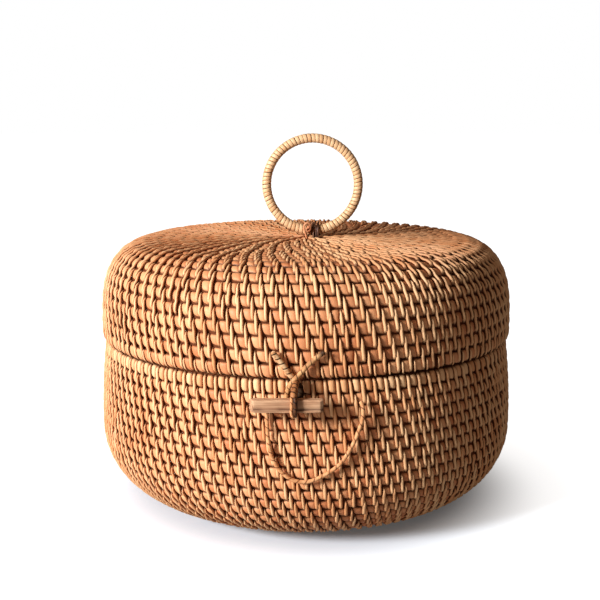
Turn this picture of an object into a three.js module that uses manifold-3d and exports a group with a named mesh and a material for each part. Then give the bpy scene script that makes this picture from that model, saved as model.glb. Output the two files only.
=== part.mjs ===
// A round lidded box of coiled rattan, with a wound ring handle, rear cane hinges and a toggle closure.
// Units are millimetres, +Z is up, the front with the toggle faces -Y, and the origin is the centre of
// the floor's underside.
import * as THREE from 'three';
import { mergeVertices } from 'three/addons/utils/BufferGeometryUtils.js';
import Module from 'manifold-3d';

const wasm = await Module();
wasm.setup();

// Base basket
const rimRadius = 118; // outside of the top coil
const bellyBulge = 3.2; // how far the widest part of the wall stands out past the rim
const footCurve = 57.2; // from the widest part in to the flat of the floor
const bellyHeight = 46.4; // height at which the rounded foot has become the wall
const footRoundness = 2.21; // exponent of the foot's superellipse
const seamHeight = 95.5; // top of the base
const baseWall = 6; // thickness of one coil
const baseCoilPitch = 6.07;
const rimCoilHeight = 6.9; // the top coil is a heavier cane

// Lid basket
const lidOverhang = 0.8; // how far the lid's lowest coil stands out past the base's rim
const lidBulge = 1.1; // how far the lid's widest part stands out past its lowest coil
const lidWallHeight = 11.3; // from the seam to the widest part
const shoulderCurve = 34.9; // from the widest part in to where the shoulder has become the crown
const shoulderHeight = 56.2; // from the seam
const shoulderRoundness = 2.69;
const crownRise = 0.4; // how far the middle of the crown lies above the shoulder
const lidWall = 6;
const lidCoilPitch = 6.94;

// Radii that follow from these
const bellyRadius = rimRadius + bellyBulge;
const footRadius = bellyRadius - footCurve;
const lidRimRadius = rimRadius + lidOverhang;
const lidRadius = lidRimRadius + lidBulge;
const shoulderRadius = lidRadius - shoulderCurve;

// Both baskets
const coilGroove = 1.7; // depth between one coil and the next
const rimCoilEdge = 0.9; // how far the rim coils round off at their edges
const crownHubRows = 1; // rows at the middle of the crown that are too small to stand out
const turnSteps = 36; // facets round a basket
const footCoilsFrom = 5; // the coils under the foot are plain up to this height
const touchGap = 0.3; // between pieces that touch

// Locating collar inside the rim
const collarThickness = 2.5;
const collarHeight = 10;
const collarProud = 5.5; // how far it stands above the seam

// Ring handle
const ringOffset = 3.8; // the ring is tied a little to the right of the middle
const ringRadius = 26.6; // centre line of the hoop
const hoopRadius = 1.7;
const stripThickness = 0.9;
const stripWidth = 4.4;
const windingTurns = 24;
const windingSteps = 20; // steps in one turn
const windingBare = 6.6; // length of hoop left bare under the lashing
const ringRise = 0.4; // free height under the ring
const ringClearance = 0.3; // between the ring and its lashing

// Lashing that ties the ring to the crown
const lashingWidth = 5;
const lashingOffset = 1.9; // to the right of the ring's lowest point
const lashingThickness = 1;
const lashingSlotGap = 0.3;
const tieKnotRadius = 1.1;

// Rear hinges
const hingeSpacing = 36; // between the two hinges
const hingeCaneRadius = 1.2; // loop on the lid
const hingeEyeRadius = 1; // loop on the base
const hingeClearance = 0.3;
const hingeBarLength = 10;
const hingeLidRise = 4; // height above the seam at which the lid's loop enters the wall
const hingeBaseDrop = 10; // depth under the seam at which the base's loop enters the wall
const hingeEyeSpread = 5.4; // between the two ends of the base's loop

// Toggle
const pegLength = 36;
const pegHeight = 6.6;
const pegDepth = 5;
const pegCentreX = -9.6;
const pegDrop = 10.2; // centre under the seam
const pegStandoff = 7.5; // back of the peg in front of the rim
const pegEdge = 0.9; // width of its bevelled edges
const pegGrooveHeight = 1.6; // centre of the split line above the peg's lower edge
const pegGroove = 0.5; // width and depth of the split line
const pegBevel = 2; // length of the cut at its left end
const leftStrandRadius = 1.5;
const rightStrandRadius = 1.15;
const bindingRadius = 1;
const loopRadius = 1;
const knotRadius = 2.2;
const toggleCordRise = 15; // height above the seam at which the toggle's cords leave the lid
const loopLeftDrop = 9.5; // depth under the seam at which the loop's left end enters the wall
const loopRightDrop = 11.6; // and its right end

// Cord routes, point by point along the middle of each cord
const leftStrandRoute = [
  [-16.6, -121.2, 110.5], [-12.4, -121.2, 105.3], [-9.5, -121.1, 101.3], [-7.3, -120.95, 98.3],
  [-5, -120.8, 95.4], [-2.8, -120.7, 92.3], [-2.6, -121, 89.2], [-3.8, -121.3, 86.6], [-5.5, -121.4, 84.4],
];
const rightStrandRoute = [
  [9.2, -121.2, 110.5], [4.4, -121.4, 106.9], [0, -122, 102.9], [-2.9, -123.1, 99.6], [-5.9, -123.95, 96.8],
  [-7.8, -123.2, 94.3], [-8.9, -121.75, 91.3], [-9.4, -121.1, 88], [-9.3, -121, 85],
];
const bindingRoute = [
  [-4.4, -131.3, 80.6], [-5.5, -132, 79.9], [-6.8, -132.3, 80.9], [-7.2, -132, 83.1], [-6.9, -132, 86.9],
  [-6.6, -131.1, 89.5], [-6.5, -128, 90.2], [-6.5, -125.2, 89.6], [-6.5, -124.25, 87.1], [-6.5, -124.25, 83],
  [-6.7, -125.3, 80.8], [-7, -127.2, 80.4], [-7.2, -129.2, 80.4],
];
const loopRoute = [
  [-19.4, -119.8, 78.2], [-19.2, -120.3, 73], [-18.6, -120.9, 64.8], [-16.4, -121.6, 55.5], [-12.4, -122.2, 49.5],
  [-5.5, -122.7, 45], [0.5, -122.8, 44.5], [8.5, -122.5, 47.5], [17.4, -121.6, 53.9], [22.4, -120.7, 61.5],
  [26.3, -119.9, 70.5], [28.2, -119.8, 78.2],
];
const loopLeftEndRoute = [
  [-19.7, -118, 86], [-19.7, -119.5, 85.6], [-19.6, -120.3, 84.3], [-19.5, -120.4, 82.4], [-19.4, -119.9, 79.6],
];
const loopRightEndRoute = [
  [27.2, -116.8, 83.9], [27.5, -118.3, 83.4], [27.9, -119.4, 82.2], [28.1, -119.8, 80.9], [28.2, -119.8, 79.6],
];
// The tie's points count from the ring's lowest centre.
const tieKnotRoute = [
  [-2.2, -4.5, -1.9], [-3.4, -4.6, -1.3], [-4.6, -4.8, 0.4], [-4.4, -4.9, 2.9], [-3, -5, 4.2], [-1.9, -5, 3.2],
  [-1.9, -5, 1.4],
];

// Colours, from the photograph
const colours = {
  cane: { color: 0xb4733a, roughness: 0.55 },
  rim: { color: 0xbd7c42, roughness: 0.55 },
  hoop: { color: 0x9b6a3a, roughness: 0.6 },
  strip: { color: 0xd39a5e, roughness: 0.45 },
  lashing: { color: 0x5e3119, roughness: 0.6 },
  cord: { color: 0xb87a43, roughness: 0.6 },
  peg: { color: 0xa98462, roughness: 0.7 },
};

const box = new THREE.Group();

function addPiece(name, geometry, finish) {
  const mesh = new THREE.Mesh(geometry, new THREE.MeshStandardMaterial({ metalness: 0, ...colours[finish] }));
  mesh.name = name;
  box.add(mesh);
  return mesh;
}

// Keeps only the positions, merges equal corners and drops faces that have shrunk to a line.
function bareGeometry(geometry) {
  const bare = geometry.clone();
  bare.deleteAttribute('normal');
  bare.deleteAttribute('uv');
  const merged = mergeVertices(bare, 1e-4);
  const faces = [];
  const corners = merged.index.array;
  for (let i = 0; i < corners.length; i += 3) {
    const [a, b, c] = [corners[i], corners[i + 1], corners[i + 2]];
    if (a !== b && b !== c && c !== a) faces.push(a, b, c);
  }
  merged.setIndex(faces);
  return merged;
}

// Turns the faces round where the body is inside out, which its signed volume shows.
function facingOut(geometry) {
  const merged = bareGeometry(geometry);
  const position = merged.attributes.position;
  const faces = merged.index.array;
  const [a, b, c] = [new THREE.Vector3(), new THREE.Vector3(), new THREE.Vector3()];
  let volume = 0;
  for (let i = 0; i < faces.length; i += 3) {
    a.fromBufferAttribute(position, faces[i]);
    b.fromBufferAttribute(position, faces[i + 1]);
    c.fromBufferAttribute(position, faces[i + 2]);
    volume += a.dot(b.cross(c));
  }
  if (volume < 0) {
    const turned = [];
    for (let i = 0; i < faces.length; i += 3) turned.push(faces[i], faces[i + 2], faces[i + 1]);
    merged.setIndex(turned);
  }
  merged.computeVertexNormals();
  return merged;
}

// A body of revolution about Z, from a profile of [radius, height] pairs.
function turned(profile, steps = turnSteps) {
  const points = profile.map(([r, z]) => new THREE.Vector2(r, z));
  return facingOut(new THREE.LatheGeometry(points, steps).rotateX(Math.PI / 2));
}

function circleShape(radius, sides) {
  const corners = Array.from({ length: sides }, (_, i) => {
    const angle = (2 * Math.PI * i) / sides;
    return new THREE.Vector2(radius * Math.cos(angle), radius * Math.sin(angle));
  });
  return new THREE.Shape(corners);
}

// A round cord along a smooth curve through the points.
function cord(route, radius, steps, sides = 8) {
  const curve = new THREE.CatmullRomCurve3(route.map((p) => new THREE.Vector3(...p)), false, 'centripetal');
  return facingOut(new THREE.ExtrudeGeometry(circleShape(radius, sides), { steps, extrudePath: curve }));
}

function solid(geometry) {
  const bare = bareGeometry(geometry);
  return new wasm.Manifold(
    new wasm.Mesh({
      numProp: 3,
      vertProperties: new Float32Array(bare.attributes.position.array),
      triVerts: new Uint32Array(bare.index.array),
    }),
  );
}

function geometryOf(manifold) {
  const mesh = manifold.getMesh();
  const geometry = new THREE.BufferGeometry();
  geometry.setAttribute('position', new THREE.BufferAttribute(new Float32Array(mesh.vertProperties), 3));
  geometry.setIndex(Array.from(mesh.triVerts));
  return facingOut(geometry);
}

// Points of a smooth meridian: the foot's superellipse, then the wall up to the seam.
function baseMeridian() {
  const points = [];
  for (let i = 0; i <= 60; i++) {
    const t = (i / 60) * (Math.PI / 2);
    const out = Math.sin(t) ** (2 / footRoundness);
    const up = 1 - Math.cos(t) ** (2 / footRoundness);
    points.push(new THREE.Vector2(footRadius + (bellyRadius - footRadius) * out, bellyHeight * up));
  }
  for (let i = 1; i <= 24; i++) {
    const u = i / 24;
    const height = bellyHeight + (seamHeight - bellyHeight) * u;
    points.push(new THREE.Vector2(bellyRadius + (rimRadius - bellyRadius) * u * u, height));
  }
  return points;
}

// The lid's meridian: the wall up from the seam, the shoulder's superellipse and the shallow crown.
function lidMeridian() {
  const points = [];
  const shoulder = seamHeight + shoulderHeight;
  const widest = seamHeight + lidWallHeight;
  for (let i = 0; i < 24; i++) {
    const u = i / 24;
    const radius = lidRimRadius + (lidRadius - lidRimRadius) * (1 - (1 - u) ** 2);
    points.push(new THREE.Vector2(radius, seamHeight + lidWallHeight * u));
  }
  for (let i = 0; i <= 60; i++) {
    const t = (i / 60) * (Math.PI / 2);
    const out = Math.cos(t) ** (2 / shoulderRoundness);
    const up = Math.sin(t) ** (2 / shoulderRoundness);
    points.push(
      new THREE.Vector2(shoulderRadius + (lidRadius - shoulderRadius) * out, widest + (shoulder - widest) * up),
    );
  }
  for (let i = 1; i <= 30; i++) {
    const radius = shoulderRadius * (1 - i / 30);
    points.push(new THREE.Vector2(radius, shoulder + crownRise * (1 - (radius / shoulderRadius) ** 2)));
  }
  return points;
}

// Walks along a meridian by arc length and gives the point there and the direction out of the wall.
class Meridian {
  constructor(points) {
    this.points = points;
    this.lengths = [0];
    for (let i = 1; i < points.length; i++) {
      this.lengths.push(this.lengths[i - 1] + points[i].distanceTo(points[i - 1]));
    }
  }

  get length() {
    return this.lengths[this.lengths.length - 1];
  }

  // outSide is 1 where the outside lies to the right of the direction of travel, and -1 where it lies left.
  at(distance, outSide) {
    const s = Math.min(Math.max(distance, 0), this.length);
    let i = 1;
    while (i < this.lengths.length - 1 && this.lengths[i] < s) i++;
    const share = (s - this.lengths[i - 1]) / (this.lengths[i] - this.lengths[i - 1]);
    const point = this.points[i - 1].clone().lerp(this.points[i], share);
    const along = this.points[i].clone().sub(this.points[i - 1]).normalize();
    return { point, out: new THREE.Vector2(along.y, -along.x).multiplyScalar(outSide) };
  }

  // The distance along the meridian at which it first passes a height.
  distanceAtHeight(height) {
    for (let i = 1; i < this.points.length; i++) {
      const [a, b] = [this.points[i - 1].y, this.points[i].y];
      if ((a - height) * (b - height) <= 0 && a !== b) {
        return this.lengths[i - 1] + (this.lengths[i] - this.lengths[i - 1]) * ((height - a) / (b - a));
      }
    }
    return this.length;
  }

  radiusAtHeight(height) {
    return this.at(this.distanceAtHeight(height), 1).point.x;
  }
}

// The ridged outside of rows of coils between two places on a meridian: a crest for each coil, and a
// groove where it meets the next.
function coilRidges(meridian, from, to, pitch) {
  const rows = Math.max(1, Math.round((to - from) / pitch));
  const step = (to - from) / rows;
  const ridges = [];
  for (let row = 0; row < rows; row++) {
    ridges.push(meridian.at(from + (row + 0.5) * step, 1).point);
    if (row < rows - 1) {
      const groove = meridian.at(from + (row + 1) * step, 1);
      ridges.push(groove.point.addScaledVector(groove.out, -coilGroove));
    }
  }
  return ridges;
}

// A plain stretch of the outside, where the coils are too flat to stand out.
function plainRun(meridian, from, to, count) {
  return Array.from({ length: count }, (_, i) => meridian.at(from + ((to - from) * i) / count, 1).point);
}

// The smooth inside of a wall, a set thickness in from the meridian.
function inside(meridian, from, to, thickness, count) {
  return Array.from({ length: count + 1 }, (_, i) => {
    const place = meridian.at(from + ((to - from) * i) / count, 1);
    return place.point.addScaledVector(place.out, -thickness);
  });
}

const pairs = (points) => points.map((p) => [p.x, p.y]);

const baseLine = new Meridian(baseMeridian());
const lidLine = new Meridian(lidMeridian());
const crownTop = seamHeight + shoulderHeight + crownRise;
const lidBottom = seamHeight + touchGap;

// The wall coils end where each basket's heavier rim coil begins.
const baseWallTop = seamHeight - rimCoilHeight - touchGap;
const baseWallEnd = baseLine.distanceAtHeight(baseWallTop);
const baseInside = inside(baseLine, 0, baseWallEnd, baseWall, 8);
const lidWallBottom = lidBottom + rimCoilHeight + touchGap;
const lidWallStart = lidLine.distanceAtHeight(lidWallBottom);
const lidInside = inside(lidLine, lidWallStart, lidLine.length, lidWall, 10);

// Coiled floor and wall of the base, up to the heavier top coil.
function baseBasket() {
  const foot = baseLine.distanceAtHeight(footCoilsFrom);
  const outer = [...plainRun(baseLine, 0, foot, 4), ...coilRidges(baseLine, foot, baseWallEnd, baseCoilPitch)];
  const inner = [...baseInside].reverse();
  const rim = baseLine.at(baseWallEnd, 1).point;
  return turned([
    [0, 0],
    ...pairs(outer),
    [rim.x, baseWallTop],
    [rim.x - baseWall, baseWallTop],
    ...pairs(inner.slice(1)),
    [0, baseWall],
  ]);
}

// One heavy coil: a flat-sided round section between two heights.
function rimCoil(bottom, top, bottomRadius, topRadius, thickness) {
  const bulge = rimCoilEdge;
  const corner = thickness / 5;
  const middle = (bottom + top) / 2;
  return turned([
    [bottomRadius - bulge, bottom],
    [bottomRadius, bottom + corner],
    [Math.max(bottomRadius, topRadius), middle],
    [topRadius, top - corner],
    [topRadius - bulge, top],
    [topRadius - thickness + bulge, top],
    [topRadius - thickness, top - corner],
    [bottomRadius - thickness, bottom + corner],
    [bottomRadius - thickness + bulge, bottom],
    [bottomRadius - bulge, bottom],
  ]);
}

function locatingCollar() {
  const outer = rimRadius - baseWall - touchGap;
  const inner = outer - collarThickness;
  const top = seamHeight + collarProud;
  const bottom = top - collarHeight;
  const chamfer = collarThickness / 4;
  return turned([
    [outer, bottom],
    [outer, top - chamfer],
    [outer - chamfer, top],
    [inner + chamfer, top],
    [inner, top - chamfer],
    [inner, bottom],
    [outer, bottom],
  ]);
}

// Height of the ring's lowest centre line, about which it folds.
const ringPivot = crownTop + ringRise + hoopRadius + touchGap + stripThickness;
const ringOuter = hoopRadius + touchGap + stripThickness;
const lashingReach = lashingOffset + lashingWidth / 2;
const lashingInner = ringOuter + ringClearance + lashingReach ** 2 / (2 * ringRadius);
const lashingOuter = lashingInner + lashingThickness;

// Two slots through the crown for the lashing's legs.
function lashingSlots() {
  const slotY = (lashingInner + lashingOuter) / 2;
  const depth = 3 * lidWall;
  return [-1, 1].map((side) => {
    const slot = new THREE.BoxGeometry(
      lashingWidth + 2 * lashingSlotGap,
      lashingThickness + 2 * lashingSlotGap,
      depth,
    );
    return slot.translate(ringOffset + lashingOffset, side * slotY, crownTop - lidWall / 2);
  });
}

function lidBasket() {
  const rows = Math.round((lidLine.length - lidWallStart) / lidCoilPitch);
  const hub = lidLine.length - ((lidLine.length - lidWallStart) / rows) * crownHubRows;
  const ridges = coilRidges(lidLine, lidWallStart, hub, lidCoilPitch);
  const outer = [...ridges, ...plainRun(lidLine, hub, lidLine.length, 2)];
  const inner = [...lidInside].reverse();
  const rim = lidLine.at(lidWallStart, 1).point;
  const shell = turned([
    [0, crownTop - lidWall],
    ...pairs(inner.slice(1, -1)),
    [rim.x - lidWall, lidWallBottom],
    [rim.x, lidWallBottom],
    ...pairs(outer),
    [0, crownTop],
  ]);
  return geometryOf(lashingSlots().reduce((rest, slot) => rest.subtract(solid(slot)), solid(shell)));
}

// The hoop is a ring that stands upright in the XZ plane on its lowest point.
const ringCentre = new THREE.Vector3(ringOffset, 0, ringPivot + ringRadius);

function ringHoop() {
  return facingOut(new THREE.TorusGeometry(ringRadius, hoopRadius, 8, 36).rotateX(Math.PI / 2)).translate(
    ...ringCentre.toArray(),
  );
}

// The peel strip is one flat tube wound round the hoop. Its middle lies at an angle round the ring, its
// turn angle goes round the hoop, and six corners make its section.
function stripSection(share) {
  const bare = windingBare / (2 * ringRadius);
  const around = -Math.PI / 2 + bare + share * (2 * Math.PI - 2 * bare);
  const turn = share * windingTurns * 2 * Math.PI;
  const middle = hoopRadius + touchGap + stripThickness / 2;
  const radial = new THREE.Vector3(Math.cos(around), 0, Math.sin(around));
  const along = new THREE.Vector3(-Math.sin(around), 0, Math.cos(around));
  const side = new THREE.Vector3(0, 1, 0);
  const normal = radial.clone().multiplyScalar(Math.cos(turn)).addScaledVector(side, Math.sin(turn));
  const sweep = radial.clone().multiplyScalar(-Math.sin(turn)).addScaledVector(side, Math.cos(turn));
  const forward = (ringRadius + middle * Math.cos(turn)) * (2 * Math.PI - 2 * bare);
  const round = middle * windingTurns * 2 * Math.PI;
  const direction = along.clone().multiplyScalar(forward).addScaledVector(sweep, round).normalize();
  const across = direction.clone().cross(normal).normalize();
  const centre = ringCentre.clone().addScaledVector(radial, ringRadius).addScaledVector(normal, middle);
  return { centre, normal, across };
}

function ringBinding() {
  const section = [
    [0.5, 0], [0.34, 0.5], [-0.34, 0.5], [-0.5, 0], [-0.34, -0.5], [0.34, -0.5],
  ];
  const steps = windingTurns * windingSteps;
  const corners = [];
  for (let i = 0; i <= steps; i++) {
    const { centre, normal, across } = stripSection(i / steps);
    for (const [wide, thick] of section) {
      const corner = centre.clone().addScaledVector(across, wide * stripWidth);
      corners.push(...corner.addScaledVector(normal, thick * stripThickness).toArray());
    }
  }
  const sides = section.length;
  const faces = [];
  for (let i = 0; i < steps; i++) {
    for (let j = 0; j < sides; j++) {
      const [a, b] = [i * sides + j, i * sides + ((j + 1) % sides)];
      faces.push(a, b, a + sides, b, b + sides, a + sides);
    }
  }
  const last = steps * sides;
  for (let j = 1; j < sides - 1; j++) {
    faces.push(0, j + 1, j);
    faces.push(last, last + j, last + j + 1);
  }
  const geometry = new THREE.BufferGeometry();
  geometry.setAttribute('position', new THREE.Float32BufferAttribute(corners, 3));
  geometry.setIndex(faces);
  return facingOut(geometry);
}

// The least distance between one turn's near edge and the next turn's, on points along the strip.
function windingGap() {
  const steps = windingTurns * windingSteps;
  const edges = [];
  for (let i = 0; i <= steps; i++) {
    const { centre, across } = stripSection(i / steps);
    edges.push([
      centre.clone().addScaledVector(across, stripWidth / 2),
      centre.clone().addScaledVector(across, -stripWidth / 2),
    ]);
  }
  let least = Infinity;
  for (let i = 0; i <= steps - windingSteps / 2; i++) {
    for (let j = i + windingSteps / 2; j <= Math.min(steps, i + 2 * windingSteps); j++) {
      least = Math.min(least, edges[i][0].distanceTo(edges[j][1]), edges[i][1].distanceTo(edges[j][0]));
    }
  }
  return least;
}

// A strap that goes over the ring, down through the crown's slots and across under the crown.
function handleLashing() {
  const under = crownTop - lidWall - touchGap;
  const outline = (reach, bottom) => {
    const path = new THREE.Path();
    path.moveTo(-reach, bottom);
    path.lineTo(reach, bottom);
    path.lineTo(reach, ringPivot);
    path.absarc(0, ringPivot, reach, 0, Math.PI, false);
    path.lineTo(-reach, bottom);
    return path.getPoints(8);
  };
  const shape = new THREE.Shape(outline(lashingOuter, under - lashingThickness));
  shape.holes.push(new THREE.Path(outline(lashingInner, under)));
  const strap = new THREE.ExtrudeGeometry(shape, { depth: lashingWidth, bevelEnabled: false, steps: 1 });
  // The section lies in XY and rises along Z, so it is stood up in the YZ plane.
  strap.translate(0, 0, -lashingWidth / 2).rotateX(Math.PI / 2).rotateZ(Math.PI / 2);
  return facingOut(strap.translate(ringOffset + lashingOffset, 0, 0));
}

// The hinge line lies behind the wall, far enough out for the base's loop to pass in front of the bar.
const hingeLine = new THREE.Vector2(
  lidLine.radiusAtHeight(seamHeight + hingeLidRise) + 2 * touchGap + 2 * hingeEyeRadius + hingeClearance +
    hingeCaneRadius,
  seamHeight,
);

function wallBehind(line, x, height) {
  return Math.sqrt(line.radiusAtHeight(height) ** 2 - x ** 2);
}

// The lid's loop: out of the wall, along the hinge line and back into the wall.
function lidHingeLoop(x) {
  const reach = hingeBarLength / 2;
  const height = seamHeight + hingeLidRise;
  const spread = reach + hingeCaneRadius;
  const ends = [-1, 1].map((side) => {
    const endX = x + side * spread;
    return [endX, wallBehind(lidLine, endX, height) + touchGap + hingeCaneRadius / 2, height];
  });
  const leg = (side, end) => [x + side * spread, (end[1] + hingeLine.x) / 2, height - hingeLidRise / 4];
  return cord(
    [
      ends[0],
      leg(-1, ends[0]),
      [x - reach, hingeLine.x, hingeLine.y],
      [x - reach / 2, hingeLine.x, hingeLine.y],
      [x + reach / 2, hingeLine.x, hingeLine.y],
      [x + reach, hingeLine.x, hingeLine.y],
      leg(1, ends[1]),
      ends[1],
    ],
    hingeCaneRadius,
    20,
    6,
  );
}

// The base's loop: up out of the wall, over the lid's bar and down into the wall again.
function baseHingeLoop(x) {
  const eye = hingeCaneRadius + hingeClearance + hingeEyeRadius;
  const low = seamHeight - hingeBaseDrop;
  const high = low + hingeEyeSpread;
  const start = wallBehind(baseLine, x, low) + touchGap + hingeEyeRadius / 2;
  const end = wallBehind(baseLine, x, high) + touchGap + hingeEyeRadius / 2;
  const over = [150, 120, 90, 60, 30].map((degrees) => {
    const angle = (degrees * Math.PI) / 180;
    return [x, hingeLine.x - eye * Math.cos(angle), hingeLine.y + eye * Math.sin(angle)];
  });
  return cord(
    [
      [x, start, low],
      [x, start + eye, low + eye / 2],
      [x, hingeLine.x + eye, (low + hingeLine.y) / 2],
      [x, hingeLine.x + eye, hingeLine.y],
      ...over,
      [x, hingeLine.x - eye, hingeLine.y],
      [x, hingeLine.x - eye, (high + hingeLine.y) / 2],
      [x, end, high],
    ],
    hingeEyeRadius,
    22,
    6,
  );
}

// The loop of cord, with round ends where it bends away from its two fixed ends.
function closureLoop() {
  const ends = [loopRoute[0], loopRoute[loopRoute.length - 1]];
  const rounds = ends.map((end) => solid(new THREE.IcosahedronGeometry(loopRadius, 1).translate(...end)));
  return geometryOf(rounds.reduce((rest, round) => rest.add(round), solid(cord(loopRoute, loopRadius, 42))));
}

// Split wood peg with bevelled edges, a split line along its front and a slanted cut at its left end.
function togglePeg() {
  const [h, d, e] = [pegHeight / 2, pegDepth / 2, pegEdge];
  const split = -h + pegGrooveHeight;
  const g = pegGroove / 2;
  const outline = [
    [-d + e, -h], [d - e, -h], [d, -h + e], [d, split - g], [d - pegGroove, split], [d, split + g],
    [d, h - e], [d - e, h], [-d + e, h], [-d, h - e], [-d, -h + e],
  ];
  const shape = new THREE.Shape(outline.map(([x, y]) => new THREE.Vector2(x, y)));
  const bar = new THREE.ExtrudeGeometry(shape, { depth: pegLength, bevelEnabled: false, steps: 1 });
  // The section's first axis becomes the front, -Y, its second stays up and the length runs along X.
  bar.translate(0, 0, -pegLength / 2).rotateX(Math.PI / 2).rotateZ(-Math.PI / 2);
  const cutter = new THREE.BoxGeometry(2 * pegBevel, 4 * pegDepth, 4 * pegHeight);
  cutter.translate(-pegBevel, 0, 0).rotateZ(Math.atan2(pegBevel, pegDepth)).translate(-pegLength / 2, pegDepth / 2, 0);
  const peg = geometryOf(solid(facingOut(bar)).subtract(solid(cutter)));
  return peg.translate(pegCentreX, -(rimRadius + pegStandoff + pegDepth / 2), seamHeight - pegDrop);
}

// The radius of a wall's inside at a height, on the flat of a facet.
function insideRadius(wallInside, height) {
  for (let i = 1; i < wallInside.length; i++) {
    const [a, b] = [wallInside[i - 1], wallInside[i]];
    if ((a.y - height) * (b.y - height) <= 0 && a.y !== b.y) {
      const radius = a.x + (b.x - a.x) * ((height - a.y) / (b.y - a.y));
      return radius * Math.cos(Math.PI / turnSteps);
    }
  }
  return wallInside[0].x;
}

// A knot that keeps a cord from slipping out of a wall, inside the wall where the cord enters it.
function wallKnot(wallInside, [x, y], height) {
  const radius = insideRadius(wallInside, height) - touchGap - knotRadius;
  const angle = Math.atan2(y, x);
  const knot = new THREE.IcosahedronGeometry(knotRadius, 0);
  return facingOut(knot).translate(radius * Math.cos(angle), radius * Math.sin(angle), height);
}

addPiece('base_basket', baseBasket(), 'cane');
addPiece(
  'base_rim_coil',
  rimCoil(seamHeight - rimCoilHeight, seamHeight, rimRadius, rimRadius, baseWall),
  'rim',
);
addPiece('locating_collar', locatingCollar(), 'hoop');
addPiece('lid_basket', lidBasket(), 'cane');
addPiece(
  'lid_rim_coil',
  rimCoil(lidBottom, lidBottom + rimCoilHeight, lidRimRadius, lidLine.radiusAtHeight(lidBottom + rimCoilHeight), lidWall),
  'rim',
);
addPiece('handle_lashing', handleLashing(), 'lashing');
const tieKnot = cord(tieKnotRoute, tieKnotRadius, 12).translate(ringOffset, 0, ringPivot);
addPiece('handle_tie_knot', tieKnot, 'strip');
addPiece('ring_hoop', ringHoop(), 'hoop');
addPiece('ring_binding', ringBinding(), 'strip');
for (const [name, x] of [['left', -hingeSpacing / 2], ['right', hingeSpacing / 2]]) {
  addPiece(`lid_hinge_loop_${name}`, lidHingeLoop(x), 'cord');
  addPiece(`base_hinge_loop_${name}`, baseHingeLoop(x), 'cord');
}
addPiece('toggle_cord_left', cord(leftStrandRoute, leftStrandRadius, 20), 'cord');
addPiece('toggle_cord_right', cord(rightStrandRoute, rightStrandRadius, 24), 'cord');
const cordHeight = seamHeight + toggleCordRise;
addPiece('toggle_cord_knot_left', wallKnot(lidInside, leftStrandRoute[0], cordHeight), 'cord');
addPiece('toggle_cord_knot_right', wallKnot(lidInside, rightStrandRoute[0], cordHeight), 'cord');
addPiece('toggle_peg', togglePeg(), 'peg');
addPiece('toggle_binding', cord(bindingRoute, bindingRadius, 30), 'cord');
addPiece('closure_loop', closureLoop(), 'cord');
addPiece('closure_loop_end_left', cord(loopLeftEndRoute, loopRadius, 7), 'cord');
addPiece('closure_loop_end_right', cord(loopRightEndRoute, loopRadius, 7), 'cord');
const leftKnot = wallKnot(baseInside, loopLeftEndRoute[0], seamHeight - loopLeftDrop);
const rightKnot = wallKnot(baseInside, loopRightEndRoute[0], seamHeight - loopRightDrop);
addPiece('closure_loop_knot_left', leftKnot, 'cord');
addPiece('closure_loop_knot_right', rightKnot, 'cord');

console.log(`least gap between turns of the ring's binding: ${windingGap().toFixed(2)} mm`);

export default box;
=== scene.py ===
# %% [markdown]
# # A round rattan box
# The box is coiled basketry. A thick cane is laid in a spiral, and a thin strip of peel is wound round it
# and sewn to the coil beside it. Two such baskets, a base and a lid, meet at a seam. A ring of wound cane
# lifts the lid, and a split peg on two cords goes through a loop of cord to keep it shut.
# The packed model gives every size and place, and this file gives each piece its real surface.

import bpy
import numpy as np
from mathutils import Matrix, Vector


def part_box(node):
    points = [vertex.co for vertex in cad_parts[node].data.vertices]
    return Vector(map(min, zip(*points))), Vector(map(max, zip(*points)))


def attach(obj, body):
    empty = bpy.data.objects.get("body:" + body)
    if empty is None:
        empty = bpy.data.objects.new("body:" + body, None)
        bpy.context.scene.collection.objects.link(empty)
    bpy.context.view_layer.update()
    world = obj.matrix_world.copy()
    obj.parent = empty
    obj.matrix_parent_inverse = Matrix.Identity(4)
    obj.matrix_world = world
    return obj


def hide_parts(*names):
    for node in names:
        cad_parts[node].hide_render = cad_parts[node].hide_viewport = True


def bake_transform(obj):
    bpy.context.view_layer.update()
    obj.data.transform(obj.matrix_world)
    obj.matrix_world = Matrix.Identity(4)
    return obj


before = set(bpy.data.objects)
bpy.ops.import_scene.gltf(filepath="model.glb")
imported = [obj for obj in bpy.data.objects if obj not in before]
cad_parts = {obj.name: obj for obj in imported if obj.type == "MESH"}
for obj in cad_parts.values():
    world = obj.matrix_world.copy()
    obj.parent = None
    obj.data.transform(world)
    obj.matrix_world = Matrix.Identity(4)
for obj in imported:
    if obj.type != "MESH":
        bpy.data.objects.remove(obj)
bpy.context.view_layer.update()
scene = bpy.context.scene
SEED = 11
rng = np.random.default_rng(SEED)
MM = 0.001

# %% [markdown]
# ## Camera
# A photograph fixes a camera: where it stood, how far down it looked and how long its lens was. The rim,
# the seam and the outline of the box were measured in the picture, and these numbers are the ones that
# put all of them in their places. The lens is a mild telephoto, so the sides stay upright.

# %% Camera
CAMERA_BACK = 0.63172
CAMERA_UP = 0.23306
LOOKS_DOWN = 10.751
camera_data = bpy.data.cameras.new("camera")
camera_data.sensor_width = 36
camera_data.lens = 64.64
camera_data.shift_x = -0.01
camera_data.clip_start = 0.05
camera = bpy.data.objects.new("camera", camera_data)
camera.location = (0, -CAMERA_BACK, CAMERA_UP)
camera.rotation_euler = (np.radians(90 - LOOKS_DOWN), 0, 0)
scene.collection.objects.link(camera)
scene.camera = camera
scene.view_settings.view_transform = "Standard"
print("camera stands", round(CAMERA_BACK * 1000), "mm in front of the box's axis")

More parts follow.
